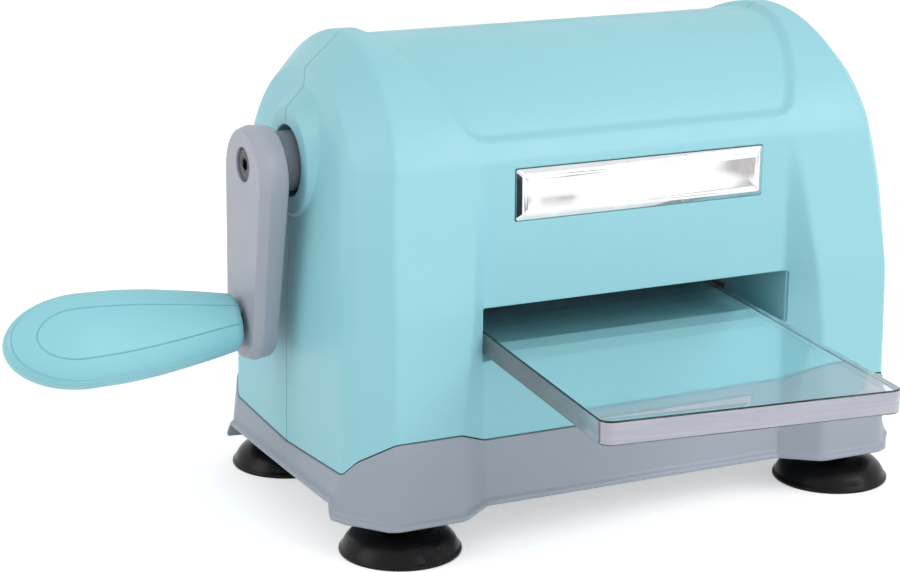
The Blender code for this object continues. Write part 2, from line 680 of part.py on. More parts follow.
def base_tray(finish):
    """Tray whose rim follows the housing's foot, with raised ends and a bead along its lower edge."""
    foot = (FOOT_FACE_Z, FOOT_FACE_Z, FOOT_PILLAR_Z, FOOT_PILLAR_Z, FOOT_END_EDGE_Z - BASE_PROUD,
            FOOT_CORNER_Z, FOOT_CORNER_Z, (FOOT_CORNER_Z + FOOT_MID_Z) / 2, FOOT_MID_Z)
    tops = [height - FOOT_GAP for height in foot]
    lows = [BASE_LOW_Z] * 6 + [BASE_END_LOW_Z] * 3
    beads = [height + LIP_H for height in lows]
    necks = [height + LIP_OUT for height in beads]
    bead = BASE_PROUD + LIP_OUT
    inside = BASE_PROUD - BASE_WALL
    tray = skin("base_tray", [base_ring(inside, [FLOOR_LOW_Z] * len(foot)), base_ring(inside, lows),
                              base_ring(bead, lows), base_ring(bead, beads), base_ring(BASE_PROUD, necks),
                              base_ring(BASE_PROUD, tops), base_ring(inside, tops),
                              base_ring(inside, [FLOOR_TOP_Z] * len(foot))], finish)
    holes = [(x, y, STUD_R, SMALL_STEPS) for x, y in cup_places()]
    holes += [(x, y, FRAME_SCREW_R, THIN_STEPS) for x, y in foot_screw_places()]
    for index, (x, y, radius, steps) in enumerate(holes):
        cut(tray, rod("floor_hole_%d" % index, radius + FIT, (x, y, FLOOR_LOW_Z - OVERRUN),
                      (x, y, FLOOR_TOP_Z + OVERRUN), steps=steps))
    return tray


def cup_places():
    return [(x, y) for y in (-CUP_Y, CUP_Y) for x in (-CUP_X, CUP_X)]


def foot_screw_places():
    x = FRAME_IN_X - FRAME_FOOT / 2
    return [(way * x, y) for way in (-1, 1) for y in (-FOOT_SCREW_Y, FOOT_SCREW_Y)]


def suction_cups(finish):
    """Four rubber cups, each with a hollow underside and a neck that meets the base."""
    neck_top = FLOOR_LOW_Z - FIT
    bore_r = STUD_R + FIT
    profile = [(0.0, CUP_SHOULDER_Z + FIT), (bore_r, CUP_SHOULDER_Z + FIT), (bore_r, neck_top),
               (CUP_NECK_R, neck_top), (CUP_NECK_R, CUP_SHOULDER_Z + CUP_RIM_H),
               (CUP_SHOULDER_R, CUP_SHOULDER_Z)]
    for out, down in CUP_DOME_SHARES:
        profile.append((CUP_SHOULDER_R + (CUP_R - CUP_SHOULDER_R) * out,
                        CUP_SHOULDER_Z - (CUP_SHOULDER_Z - CUP_RIM_H) * down))
    profile += [(CUP_R, CUP_RIM_H), (CUP_R, 0.0), (CUP_R - CUP_RIM_FLAT, 0.0), (0.0, CUP_HOLLOW)]
    names = ["suction_cup_" + corner for corner in CORNERS]
    copies(names, profile, finish, [((x, y, 0), UPRIGHT) for x, y in cup_places()], MACHINE, steps=CUP_STEPS)


def cup_screws(finish):
    """A screw through the tray's floor into each cup's neck."""
    head_z = FLOOR_TOP_Z + FIT
    tip = CUP_SHOULDER_Z + 2 * FIT - head_z
    profile = pan_head(STUD_HEAD_R, STUD_HEAD_H, STUD_R, -tip)
    names = ["cup_screw_" + corner for corner in CORNERS]
    copies(names, profile, finish, [((x, y, head_z), UPRIGHT) for x, y in cup_places()], MACHINE)


def rounded_rectangle(low_y, high_y, low_z, high_z, radius, steps=CORNER_STEPS):
    points = []
    corners = ((high_y - radius, high_z - radius, 0), (low_y + radius, high_z - radius, 90),
               (low_y + radius, low_z + radius, 180), (high_y - radius, low_z + radius, 270))
    for centre_y, centre_z, start in corners:
        for step in range(steps + 1):
            angle = math.radians(start + 90 * step / steps)
            points.append((centre_y + radius * math.cos(angle), centre_z + radius * math.sin(angle)))
    return points


def upright_plate(name, low_x, high_x, outline, holes, finish):
    """A sheet metal plate that stands across X; each hole is (y, z, radius)."""
    plate = skin(name, [[(x, y, z) for y, z in outline] for x in (low_x, high_x)], finish)
    for index, (y, z, radius) in enumerate(holes):
        steps = HOLE_STEPS if radius > ROD_R else THIN_STEPS
        hole = rod("%s_hole_%d" % (name, index), radius, (low_x - OVERRUN, y, z), (high_x + OVERRUN, y, z),
                   steps=steps)
        cut(plate, hole)
    return place(plate, MACHINE)


def rod_places():
    return [(y, z) for z in (ROD_LOW_Z, ROD_HIGH_Z) for y in (-ROD_Y, ROD_Y)]


def spacer_places():
    return [(y, z) for z in (SPACER_LOW_Z, SPACER_HIGH_Z) for y in (-SPACER_Y, SPACER_Y)]


def side_frames(finish):
    """Left and right steel side plates with turned-in feet."""
    low_z = FLOOR_TOP_Z + FIT
    outline = rounded_rectangle(-FRAME_HALF_Y, FRAME_HALF_Y, low_z, FRAME_TOP_Z, FRAME_CORNER_R)
    outline = [(y, z) if z > low_z + FRAME_CORNER_R else (math.copysign(FRAME_HALF_Y, y), low_z)
               for y, z in outline]
    tidy = [point for index, point in enumerate(outline) if point != outline[index - 1]]
    common = [(0.0, UPPER_Z, BUSH_R + FIT), (0.0, LOWER_Z, BUSH_R + FIT)]
    common += [(y, z, FRAME_SCREW_R + FIT) for y, z in rod_places()]
    left_holes = common + [(0.0, CRANK_Z, BUSH_R + FIT)]
    left_holes += [(y, z, FRAME_SCREW_R + FIT) for y, z in spacer_places()]
    for name, way, holes in (("side_frame_left", -1, left_holes), ("side_frame_right", 1, common)):
        ends = sorted((way * FRAME_IN_X, way * (FRAME_IN_X + FRAME_THICK)))
        frame = upright_plate(name, ends[0], ends[1], tidy, holes, finish)
        ends = sorted((way * (FRAME_IN_X - FRAME_FOOT), way * (FRAME_IN_X + FRAME_THICK / 2)))
        foot = box(name + "_foot", (ends[0], -FRAME_HALF_Y, low_z), (ends[1], FRAME_HALF_Y, low_z + FRAME_THICK))
        foot.parent = MACHINE
        cut(frame, foot, "UNION")
        for index, (x, y) in enumerate(foot_screw_places()):
            if x * way > 0:
                hole = rod("%s_foot_hole_%d" % (name, index), FRAME_SCREW_R + FIT, (x, y, low_z - OVERRUN),
                           (x, y, low_z + FRAME_THICK + OVERRUN), steps=THIN_STEPS)
                hole.parent = MACHINE
                cut(frame, hole)
    outline = rounded_rectangle(-FRAME_HALF_Y, FRAME_HALF_Y, GEAR_PLATE_LOW_Z, FRAME_TOP_Z, FRAME_CORNER_R)
    holes = [(0.0, CRANK_Z, BUSH_R + FIT)] + [(y, z, FRAME_SCREW_R + FIT) for y, z in spacer_places()]
    upright_plate("gear_plate", -GEAR_PLATE_X - FRAME_THICK, -GEAR_PLATE_X, outline, holes, finish)


def frame_links(steel):
    """Tie rods and spacer posts, each with a stepped end swaged into both of the plates that it joins."""
    def stepped(half):
        far = half + FRAME_THICK
        return [(0.0, far), (FRAME_SCREW_R, far), (FRAME_SCREW_R, half), (ROD_R, half), (ROD_R, -half),
                (FRAME_SCREW_R, -half), (FRAME_SCREW_R, -far), (0.0, -far)]

    names = ["tie_rod_" + corner for corner in LEVEL_CORNERS]
    copies(names, stepped(FRAME_IN_X - FIT), steel, [((0, y, z), FACE_RIGHT) for y, z in rod_places()], MACHINE)
    outer_x = FRAME_IN_X + FRAME_THICK + FIT
    half = (GEAR_PLATE_X - FIT - outer_x) / 2
    middle = -(GEAR_PLATE_X - FIT + outer_x) / 2
    names = ["spacer_post_" + corner for corner in LEVEL_CORNERS]
    copies(names, stepped(half), steel, [((middle, y, z), FACE_RIGHT) for y, z in spacer_places()], MACHINE)


def pan_head(radius, height, shank_r, length):
    """Pan head screw whose head seats at z = 0."""
    return [(0.0, height), (radius * PAN_TOP_SHARE, height), (radius, height * PAN_SIDE_SHARE), (radius, 0.0),
            (shank_r, 0.0), (shank_r, -length), (0.0, -length)]


def foot_screws(finish):
    top_z = FLOOR_TOP_Z + 2 * FIT + FRAME_THICK
    profile = pan_head(FRAME_SCREW_HEAD_R, FRAME_SCREW_HEAD_H, FRAME_SCREW_R, FRAME_SCREW_LENGTH)
    names = ["foot_screw_" + corner for corner in ("left_front", "left_rear", "right_front", "right_rear")]
    copies(names, profile, finish, [((x, y, top_z), UPRIGHT) for x, y in foot_screw_places()], MACHINE)


def housing_screws(finish):
    head_y = HEAD_SEAT_Y + FIT
    profile = pan_head(HOUSING_SCREW_HEAD_R, HOUSING_SCREW_HEAD_H, HOUSING_SCREW_R,
                       head_y + HOUSING_SCREW_REACH)
    names = ["housing_screw_" + corner for corner in ("high_left", "high_right", "low_left", "low_right")]
    copies(names, profile, finish, [((x, head_y, z), FACE_BACK) for x, z in post_places()], MACHINE)


def bush_profile(bore):
    """A flanged bush along Z; the flange's seat is at z = 0 and the sleeve runs below it."""
    return [(bore, BUSH_FLANGE), (BUSH_FLANGE_R, BUSH_FLANGE), (BUSH_FLANGE_R, 0.0), (BUSH_R, 0.0),
            (BUSH_R, -FRAME_THICK), (bore, -FRAME_THICK)]


def bushes(finish):
    outer_x = FRAME_IN_X + FRAME_THICK + FIT
    names = ["roller_bush_" + corner for corner in ("upper_right", "lower_right", "upper_left", "lower_left")]
    places = [((outer_x, 0, z), FACE_RIGHT) for z in (UPPER_Z, LOWER_Z)]
    places += [((-outer_x, 0, z), FACE_LEFT) for z in (UPPER_Z, LOWER_Z)]
    copies(names, bush_profile(JOURNAL_R + FIT), finish, places, MACHINE, steps=SMALL_STEPS, loop=True)
    plate_x = GEAR_PLATE_X + FRAME_THICK + FIT
    places = [((-outer_x, 0, CRANK_Z), FACE_LEFT), ((-plate_x, 0, CRANK_Z), FACE_LEFT)]
    copies(["crank_bush_inner", "crank_bush_outer"], bush_profile(CRANK_R + FIT), finish, places, MACHINE,
           steps=SMALL_STEPS, loop=True)


def involute(angle):
    return math.tan(angle) - angle


def gear_outline(teeth, phase):
    """Involute spur teeth with relieved roots."""
    pitch_r = teeth * MODULE / 2
    base_r = pitch_r * math.cos(PRESSURE_ANGLE)
    tip_r = pitch_r + MODULE
    root_r = pitch_r - MODULE * ROOT_SHARE
    start_r = max(base_r, root_r + MODULE * ROOT_START_SHARE)
    half_pitch = math.radians(90) / teeth - BACKLASH / (2 * pitch_r)

    def half_angle(radius):
        local = math.acos(min(1.0, base_r / radius))
        return half_pitch + involute(PRESSURE_ANGLE) - involute(local)

    flank = [start_r + (tip_r - start_r) * step / (FLANK_POINTS - 1) for step in range(FLANK_POINTS)]
    points = []
    for tooth in range(teeth):
        middle = phase + math.radians(360) * tooth / teeth
        root_half = half_angle(start_r) + MODULE * ROOT_FLARE_SHARE / root_r
        side = [(root_r, -root_half)] + [(radius, -half_angle(radius)) for radius in flank]
        whole = side + [(radius, -angle) for radius, angle in reversed(side)]
        points += [(radius * math.cos(middle + angle), radius * math.sin(middle + angle))
                   for radius, angle in whole]
    return points


def gear(name, teeth, phase, low_x, bore, parent, finish):
    """A spur gear across X with its bore left open."""
    outline = gear_outline(teeth, phase)
    rings = [[(x, y, z) for y, z in outline] for x in (low_x, low_x + GEAR_FACE)]
    wheel = skin(name, rings, finish, smooth_angle=20)
    place(wheel, parent)
    hole = rod(name + "_bore", bore, (low_x - OVERRUN, 0, 0), (low_x + GEAR_FACE + OVERRUN, 0, 0),
               steps=HOLE_STEPS)
    hole.parent = parent
    cut(wheel, hole)
    return wheel


def roller(name, parent, left_end, right_end, finish):
    """A steel roller turned from one bar with its two journals."""
    profile = [(0.0, right_end), (JOURNAL_R, right_end), (JOURNAL_R, ROLLER_HALF), (ROLLER_R, ROLLER_HALF),
               (ROLLER_R, -ROLLER_HALF), (JOURNAL_R, -ROLLER_HALF), (JOURNAL_R, -left_end), (0.0, -left_end)]
    made = turned(name, profile, finish)
    return place(made, parent, rotation=FACE_RIGHT)


def clips(names, shaft_r, places, parent, finish):
    inner = shaft_r + FIT
    outer = shaft_r + CLIP_OUT
    profile = [(inner, CLIP_THICK), (outer, CLIP_THICK), (outer, 0.0), (inner, 0.0)]
    copies(names, profile, finish, [((x, 0, 0), FACE_RIGHT) for x in places], parent, steps=SMALL_STEPS,
           loop=True)


def roller_sets(steel, gear_finish, dark):
    outer_x = FRAME_IN_X + FRAME_THICK + BUSH_FLANGE + 2 * FIT
    drive_x = FRAME_IN_X + FRAME_THICK + GEAR_GAP
    clip_x = drive_x + GEAR_FACE + FIT
    long_end = clip_x + CLIP_THICK + SHAFT_END
    short_clip = outer_x + FIT
    short_end = short_clip + CLIP_THICK + SHAFT_END
    roller("upper_roller", UPPER_AXIS, long_end, long_end, steel)
    roller("lower_roller", LOWER_AXIS, short_end, long_end, steel)
    phase_drive = math.radians(90)
    gear("drive_gear", DRIVE_TEETH, phase_drive, -drive_x - GEAR_FACE, JOURNAL_R + FIT, UPPER_AXIS, gear_finish)
    phase_upper = math.radians(-90)
    gear("upper_roller_gear", ROLLER_TEETH, phase_upper, drive_x, JOURNAL_R + FIT, UPPER_AXIS, gear_finish)
    phase_lower = math.radians(90) + math.radians(180) / ROLLER_TEETH
    gear("lower_roller_gear", ROLLER_TEETH, phase_lower, drive_x, JOURNAL_R + FIT, LOWER_AXIS, gear_finish)
    clips(("upper_clip_right", "upper_clip_left"), JOURNAL_R, (clip_x, -clip_x - CLIP_THICK), UPPER_AXIS, dark)
    clips(("lower_clip_right", "lower_clip_left"), JOURNAL_R, (clip_x, -short_clip - CLIP_THICK), LOWER_AXIS,
          dark)
    phase_pinion = math.radians(-90) + math.radians(180) / PINION_TEETH
    gear("pinion", PINION_TEETH, phase_pinion, -drive_x - GEAR_FACE, CRANK_R + FIT, CRANK_AXIS, gear_finish)


def crank_shaft(steel, dark):
    """Shaft from inside the left frame out to the arm, drilled for the arm bolt."""
    outer = ARM_FACE_X - BOLT_SUNK - BOLT_HEAD_H - SHAFT_STEP_GAP
    bore = BOLT_SHANK_R + FIT
    edge = SHAFT_END / 2
    profile = [(0.0, -CRANK_IN_X), (CRANK_R - edge, -CRANK_IN_X), (CRANK_R, -CRANK_IN_X - edge),
               (CRANK_R, -outer), (bore, -outer), (bore, BOLT_SHANK - outer), (0.0, BOLT_SHANK - outer)]
    place(turned("crank_shaft", profile, steel, steps=HOLE_STEPS), CRANK_AXIS, rotation=FACE_RIGHT)
    clip_x = -FRAME_IN_X + FIT
    clips(("crank_clip",), CRANK_R, (clip_x,), CRANK_AXIS, dark)


def arm_outline(shrink):
    """Two circles and their common tangents, in the arm's own plane. The shaft is at the origin, and the
    upper circle is centred a little below it."""
    hub = ARM_HUB_R - shrink
    grip = ARM_GRIP_R - shrink
    lean = math.asin((hub - grip) / (ARM_LENGTH - ARM_HUB_DROP))
    points = []
    steps = TURN_STEPS // 2
    for step in range(steps + 1):
        angle = -lean + (math.radians(180) + 2 * lean) * step / steps
        points.append((hub * math.cos(angle), -ARM_HUB_DROP + hub * math.sin(angle)))
    for step in range(steps + 1):
        angle = math.radians(180) + lean + (math.radians(180) - 2 * lean) * step / steps
        points.append((grip * math.cos(angle), -ARM_LENGTH + grip * math.sin(angle)))
    return points


def crank_arm(finish):
    levels = ((-ARM_BACK_X, ARM_BACK_EDGE), (-ARM_BACK_X - ARM_BACK_EDGE, 0.0),
              (-ARM_FACE_X + ARM_CHAMFER, 0.0), (-ARM_FACE_X, ARM_CHAMFER_IN))
    rings = [[(x, y, z) for y, z in arm_outline(shrink)] for x, shrink in levels]
    arm = skin("crank_arm", rings, finish)
    place(arm, ARM_AXIS)
    seat_x = ARM_FACE_X - BOLT_SUNK - BOLT_HEAD_H - FIT
    cuts = (("arm_bolt_well", BOLT_R + FIT, -ARM_FACE_X - OVERRUN, -seat_x, 0.0),
            ("arm_shaft_bore", CRANK_R + FIT, -ARM_FACE_X + OVERRUN, -ARM_BACK_X + OVERRUN, 0.0),
            ("arm_pin_bore", PIN_R + FIT, -ARM_FACE_X - OVERRUN, PIN_SUNK + FIT - ARM_FACE_X, -ARM_LENGTH))
    for name, radius, start, end, z in cuts:
        tool = rod(name, radius, (start, 0, z), (end, 0, z), steps=TURN_STEPS)
        tool.parent = ARM_AXIS
        cut(arm, tool)
    return arm


def crank_hub(finish):
    low = -ARM_BACK_X + FIT
    inner = CRANK_R + FIT
    edge = SHAFT_END / 2
    profile = [(inner, -HUB_IN_X), (HUB_R - edge, -HUB_IN_X), (HUB_R, -HUB_IN_X - edge), (HUB_R, low),
               (inner, low)]
    made = turned("crank_hub", profile, finish, loop=True)
    return place(made, CRANK_AXIS, rotation=FACE_RIGHT)


def crank_bolt(finish):
    """Socket head bolt that holds the arm on the shaft."""
    face = ARM_FACE_X - BOLT_SUNK
    seat = face - BOLT_HEAD_H
    tip = seat - BOLT_SHANK + SHAFT_STEP_GAP
    profile = [(0.0, -tip), (BOLT_SHANK_R, -tip), (BOLT_SHANK_R, -seat), (BOLT_R, -seat),
               (BOLT_R, SHAFT_END / 2 - face), (BOLT_R - SHAFT_END / 2, -face), (0.0, -face)]
    bolt = place(turned("crank_bolt", profile, finish), CRANK_AXIS, rotation=FACE_RIGHT)
    socket = rod("bolt_socket", BOLT_HEX_R, (BOLT_HEX_DEPTH - face, 0, 0), (-face - OVERRUN, 0, 0), steps=6)
    socket.parent = CRANK_AXIS
    cut(bolt, socket)
    return bolt


def grip_section(along, half, thick):
    """One flattened section of the grip, its face towards -Y before the grip is rolled."""
    points = []
    for step in range(GRIP_SECTION_POINTS):
        angle = math.radians(360) * step / GRIP_SECTION_POINTS
        wide = abs(math.cos(angle)) ** (2 / GRIP_SQUARE_SHARE) * math.copysign(1, math.cos(angle))
        deep = abs(math.sin(angle)) ** (2 / GRIP_SQUARE_SHARE) * math.copysign(1, math.sin(angle))
        points.append((-along, thick * deep, half * wide))
    return points


def grip_body(name, finish=None):
    """The whole paddle: slim at the arm, widest near its rounded tip."""
    rings = []
    for share, wide, deep in GRIP_SHARES:
        half = GRIP_ROOT_HALF + (GRIP_WIDE_HALF - GRIP_ROOT_HALF) * wide
        thick = GRIP_ROOT_THICK + (GRIP_THICK - GRIP_ROOT_THICK) * deep
        rings.append(grip_section(GRIP_LENGTH * share, half, thick))
    widest = GRIP_SHARES[-1][0]
    for share in GRIP_TIP_SHARES:
        along = widest + (1 - widest) * share
        fade = math.sqrt(1 - share ** 2)
        rings.append(grip_section(GRIP_LENGTH * along, GRIP_WIDE_HALF * fade, GRIP_THICK * fade ** GRIP_EDGE_SHARE))
    return skin(name, rings, finish, smooth_angle=50)


def inlay_prism(name, spread, back_y):
    """Outline of the thumb inlay, open at the root of the grip, run out through the face."""
    points = [(OVERRUN, -INLAY_ROOT_HALF - spread), (OVERRUN, INLAY_ROOT_HALF + spread)]
    tip = INLAY_LENGTH - INLAY_WIDE_AT + spread
    half = INLAY_WIDE_HALF + spread
    for step in range(INLAY_STEPS + 1):
        angle = math.radians(90 - 180 * step / INLAY_STEPS)
        points.append((-INLAY_WIDE_AT - tip * math.cos(angle), half * math.sin(angle)))
    rings = [[(x, y, z) for x, z in points] for y in (back_y, -GRIP_THICK - OVERRUN)]
    return skin(name, rings, None)


def handle(finish, steel):
    """A thinner moulded shell in front, with the thumb inlay, and a deeper one behind that turns on the pin."""
    far = GRIP_LENGTH + OVERRUN
    wide = GRIP_WIDE_HALF + OVERRUN
    front = grip_body("handle_front_half", finish)
    behind = box("handle_behind", (-far, PARTING - FIT / 2, -wide), (OVERRUN, wide, wide))
    pocket = inlay_prism("handle_pocket", FIT, -GRIP_ROOT_THICK + INLAY_DEPTH)
    bore = rod("handle_bore", PIN_R + FIT, (OVERRUN, 0, 0), (-PIN_REACH - FIT, 0, 0), steps=SMALL_STEPS)
    rear = grip_body("handle_rear_half", finish)
    ahead = box("handle_ahead", (-far, -wide, -wide), (OVERRUN, PARTING + FIT / 2, wide))
    inlay = grip_body("handle_inlay", finish)
    outside = inlay_prism("handle_inlay_form", 0.0, -GRIP_ROOT_THICK + INLAY_DEPTH - FIT)
    for made in (front, behind, pocket, bore, rear, ahead, inlay, outside):
        place(made, GRIP_AXIS)
    cut(front, behind)
    cut(front, pocket)
    cut(rear, ahead)
    cut(rear, bore)
    cut(inlay, outside, "INTERSECT")
    start = ARM_FACE_X - PIN_SUNK
    tip = GRIP_ROOT_X + PIN_REACH - FIT
    pin = rod("handle_pin", PIN_R, (-start, 0, -ARM_LENGTH), (-tip, 0, -ARM_LENGTH), steel)
    place(pin, ARM_AXIS)


def feed_plate(finish):
    """Clear platform plate, lying a little askew in the slot as it was pushed in."""
    half = PLATE_WIDTH / 2
    length = PLATE_LENGTH / 2
    low = -PLATE_THICK / 2
    high = PLATE_THICK / 2
    rings = []
    for z, inset in ((low, PLATE_EDGE), (low + PLATE_EDGE, 0.0), (high - PLATE_EDGE, 0.0), (high, PLATE_EDGE)):
        outline = rounded_rectangle(inset - half, half - inset, inset - length, length - inset,
                                    PLATE_CORNER_R - inset)
        rings.append([(x, y, z) for x, y in outline])
    plate = skin("feed_plate", rings, finish)
    return place(plate, FEED_AXIS)


def footprint_middle():
    """Middle of the whole machine in plan, crank and plate included."""
    left = -GRIP_TIP_X
    right = BULGE_FOOT_X + BASE_PROUD + LIP_OUT
    middle = plate_middle()
    reach = PLATE_LENGTH / 2 * math.cos(PLATE_SKEW) + PLATE_WIDTH / 2 * math.sin(PLATE_SKEW)
    front = middle[1] - reach
    back = CUP_Y + CUP_R
    return (left + right) / 2, (front + back) / 2


def plate_middle():
    """The plate's left edge clears the slot's left end where it passes the front face."""
    along = (math.sin(PLATE_SKEW), math.cos(PLATE_SKEW))
    across = (math.cos(PLATE_SKEW), -math.sin(PLATE_SKEW))
    run = (FACE_Y + PLATE_PAST_NIP) / along[1]
    corner = (-SLOT_HALF + PLATE_SIDE_GAP + along[0] * run, PLATE_PAST_NIP)
    x = corner[0] + across[0] * PLATE_WIDTH / 2 - along[0] * PLATE_LENGTH / 2
    y = corner[1] + across[1] * PLATE_WIDTH / 2 - along[1] * PLATE_LENGTH / 2
    return x, y, PLATE_MID_Z


clear_scene()
PARTS = new_collection("die_cutting_machine")
CUTTERS = new_collection("cutters")

AQUA = material("housing_aqua", (0.33, 0.68, 0.70), 0.45)
AQUA_GRIP = material("handle_aqua", (0.26, 0.66, 0.72), 0.45)
GREY = material("base_grey", (0.27, 0.30, 0.35), 0.5)
ARM_GREY = material("arm_grey", (0.42, 0.44, 0.50), 0.45)
HUB_GREY = material("hub_grey", (0.20, 0.23, 0.26), 0.45)
RUBBER = material("cup_rubber", (0.012, 0.012, 0.014), 0.35)
CHROME = material("nameplate_chrome", (0.80, 0.80, 0.82), 0.08, 1.0)
STEEL = material("bright_steel", (0.60, 0.60, 0.62), 0.25, 1.0)
PLATED = material("plated_sheet", (0.55, 0.56, 0.58), 0.40, 1.0)
DARK = material("dark_screw", (0.06, 0.06, 0.065), 0.35, 0.8)
BRONZE = material("bronze_bush", (0.50, 0.33, 0.14), 0.40, 1.0)
GEAR_NYLON = material("gear_steel", (0.45, 0.45, 0.47), 0.35, 1.0)
CLEAR = material("clear_acrylic", (0.95, 0.98, 0.98), 0.03, 0.0, 0.9)

MIDDLE = footprint_middle()
MACHINE = empty("machine_origin", (-MIDDLE[0], -MIDDLE[1], 0))
CRANK_AXIS = empty("crank_axis", (0, 0, CRANK_Z), MACHINE)
ARM_AXIS = empty("arm_axis", (0, 0, 0), CRANK_AXIS)
ARM_AXIS.rotation_euler = (ARM_TILT, 0, 0)
GRIP_AXIS = empty("grip_axis", (-GRIP_ROOT_X, 0, -ARM_LENGTH), ARM_AXIS)
GRIP_AXIS.rotation_euler = (-GRIP_ROLL - ARM_TILT, 0, 0)
UPPER_AXIS = empty("upper_roller_axis", (0, 0, UPPER_Z), MACHINE)
LOWER_AXIS = empty("lower_roller_axis", (0, 0, LOWER_Z), MACHINE)
FEED_AXIS = empty("feed_axis", plate_middle(), MACHINE)
FEED_AXIS.rotation_euler = (0, 0, -PLATE_SKEW)

PANEL_CUTTER = panel_cutter()
HALVES = [housing_half("housing_front", -1, AQUA), housing_half("housing_rear", 1, AQUA)]
for ITEM in list(CUTTERS.objects) + HALVES:
    ITEM.parent = MACHINE
place(nameplate(CHROME), MACHINE)
TRAY = base_tray(GREY)
for ITEM in list(CUTTERS.objects) + [TRAY]:
    ITEM.parent = MACHINE
suction_cups(RUBBER)
cup_screws(DARK)
side_frames(PLATED)
for ITEM in list(CUTTERS.objects):
    ITEM.parent = MACHINE
frame_links(STEEL)
foot_screws(DARK)
housing_screws(DARK)
bushes(BRONZE)
roller_sets(STEEL, GEAR_NYLON, DARK)
crank_shaft(STEEL, DARK)
crank_arm(ARM_GREY)
crank_hub(HUB_GREY)
crank_bolt(DARK)
handle(AQUA_GRIP, STEEL)
feed_plate(CLEAR)
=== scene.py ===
"""Looks of the die cutting machine: finer pieces, materials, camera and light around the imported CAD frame.

Pieces are modelled in millimetres in the machine's own frame: X to the right, Y to the back, Z up, with the
origin on the table under the middle of the housing. settle() turns them into metres in the frame of the CAD.
"""

import json
import math

import bmesh
import bpy
import numpy as np
from mathutils import Matrix, Vector

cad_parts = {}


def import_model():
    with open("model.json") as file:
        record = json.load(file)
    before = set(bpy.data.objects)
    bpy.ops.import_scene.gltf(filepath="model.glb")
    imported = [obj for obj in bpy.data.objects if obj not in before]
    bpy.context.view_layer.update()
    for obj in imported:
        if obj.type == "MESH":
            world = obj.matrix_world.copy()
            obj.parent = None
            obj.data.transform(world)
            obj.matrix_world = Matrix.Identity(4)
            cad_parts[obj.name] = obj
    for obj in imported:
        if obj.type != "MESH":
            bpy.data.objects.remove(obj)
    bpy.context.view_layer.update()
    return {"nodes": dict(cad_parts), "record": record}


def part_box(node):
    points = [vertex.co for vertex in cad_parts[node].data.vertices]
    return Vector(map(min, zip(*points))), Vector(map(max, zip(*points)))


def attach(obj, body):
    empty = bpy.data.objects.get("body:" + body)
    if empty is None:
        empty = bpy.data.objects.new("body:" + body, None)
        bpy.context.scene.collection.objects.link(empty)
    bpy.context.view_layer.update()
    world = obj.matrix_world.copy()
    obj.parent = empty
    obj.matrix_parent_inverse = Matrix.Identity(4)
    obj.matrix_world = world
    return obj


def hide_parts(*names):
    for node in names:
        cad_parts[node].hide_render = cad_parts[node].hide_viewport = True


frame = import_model()

# One metre in millimetres, and how far each housing half ends from the plane between them
METRE = 1000.0
HALF_GAP = 0.2
HOUSING_LOW, HOUSING_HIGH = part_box("housing_front")
ORIGIN = Vector(((HOUSING_LOW.x + HOUSING_HIGH.x) / 2, HOUSING_HIGH.y + HALF_GAP / METRE, 0.0))
DOWN_TO_METRES = Matrix.Translation(ORIGIN) @ Matrix.Scale(1 / METRE, 4)

# Places and sizes on the housing, as in the CAD
ARCH_R = 72.0
ARCH_Z = 130.0
SHOULDER = math.radians(21.7)
SHOULDER_Z = ARCH_Z + ARCH_R * math.sin(SHOULDER)
FACE_Y = ARCH_R * math.cos(SHOULDER)
PILLAR_PROUD = 12.1
PILLAR_Y = FACE_Y + PILLAR_PROUD
FACE_HALF = 70.5
PILLAR_IN_TOP, PILLAR_IN_FOOT = 74.5, 86.0
EDGE_CREST, EDGE_SHOULDER, EDGE_FOOT = 103.0, 110.0, 114.8
END_CREST, END_SHOULDER, END_FOOT = 118.9, 120.4, 125.2
BULGE_FOOT = 128.8
END_FOOT_IN, END_SHOULDER_IN, CORNER_IN = 14.0, 14.3, 8.0
END_FOOT_Y = PILLAR_Y - END_FOOT_IN
END_SHOULDER_Y = FACE_Y - END_SHOULDER_IN
CORNER_SHARE = (END_FOOT_Y - CORNER_IN) / END_FOOT_Y
END_CORNER_SHARE = 0.85
END_BULGE = 0.15
END_CREST_Z = 187.8
END_R = 60.0
WALL = 2.5
FOOT_FACE, FOOT_PILLAR, FOOT_END, FOOT_CORNER, FOOT_MID = 44.0, 51.7, 42.0, 34.5, 31.6
PANEL_R, PANEL_DEPTH, PANEL_SLOPE, PANEL_ABOVE_SHOULDER = 8.0, 2.5, 4.5, 7.4
# Half width of the recessed panel at a run above the shoulder
PANEL_SIDE = ((0.0, 71.0), (8.0, 74.5), (14.0, 77.0), (20.0, 79.3), (32.0, 83.7), (51.0, 89.8), (67.0, 93.4),
              (86.0, 95.2))
PANEL_START = ARCH_R * (math.asin((SHOULDER_Z + PANEL_ABOVE_SHOULDER - ARCH_Z) / ARCH_R) - SHOULDER)
CREST_RUN = ARCH_R * (math.radians(90) - SHOULDER)
SLOT_HALF, SLOT_LOW, SLOT_TOP = 71.8, 76.6, 98.5
CRANK_Z = 150.45
NAME_HALF, NAME_HEIGHT, NAME_BELOW_SHOULDER, NAME_SUNK = 57.2, 20.8, 3.0, 1.2
NAME_CORNER_R, NAME_CORNER_LEAST, POCKET_CORNER_R = 1.2, 0.5, 0.6
NAME_GAP, POCKET_DEPTH = 0.3, 1.5
NAME_TOP = SHOULDER_Z - NAME_BELOW_SHOULDER
NAME_LOW = NAME_TOP - NAME_HEIGHT
# The slot's sleeve, and the lip under the plate that reaches further in
SLEEVE_WALL, SLEEVE_END, SLEEVE_CUT = 1.8, 20.05, 16.0
LIP_START, LIP_END, LIP_PAST, LIP_THICK, LIP_UNDER = 10.8, 22.0, 1.2, 1.6, 0.01
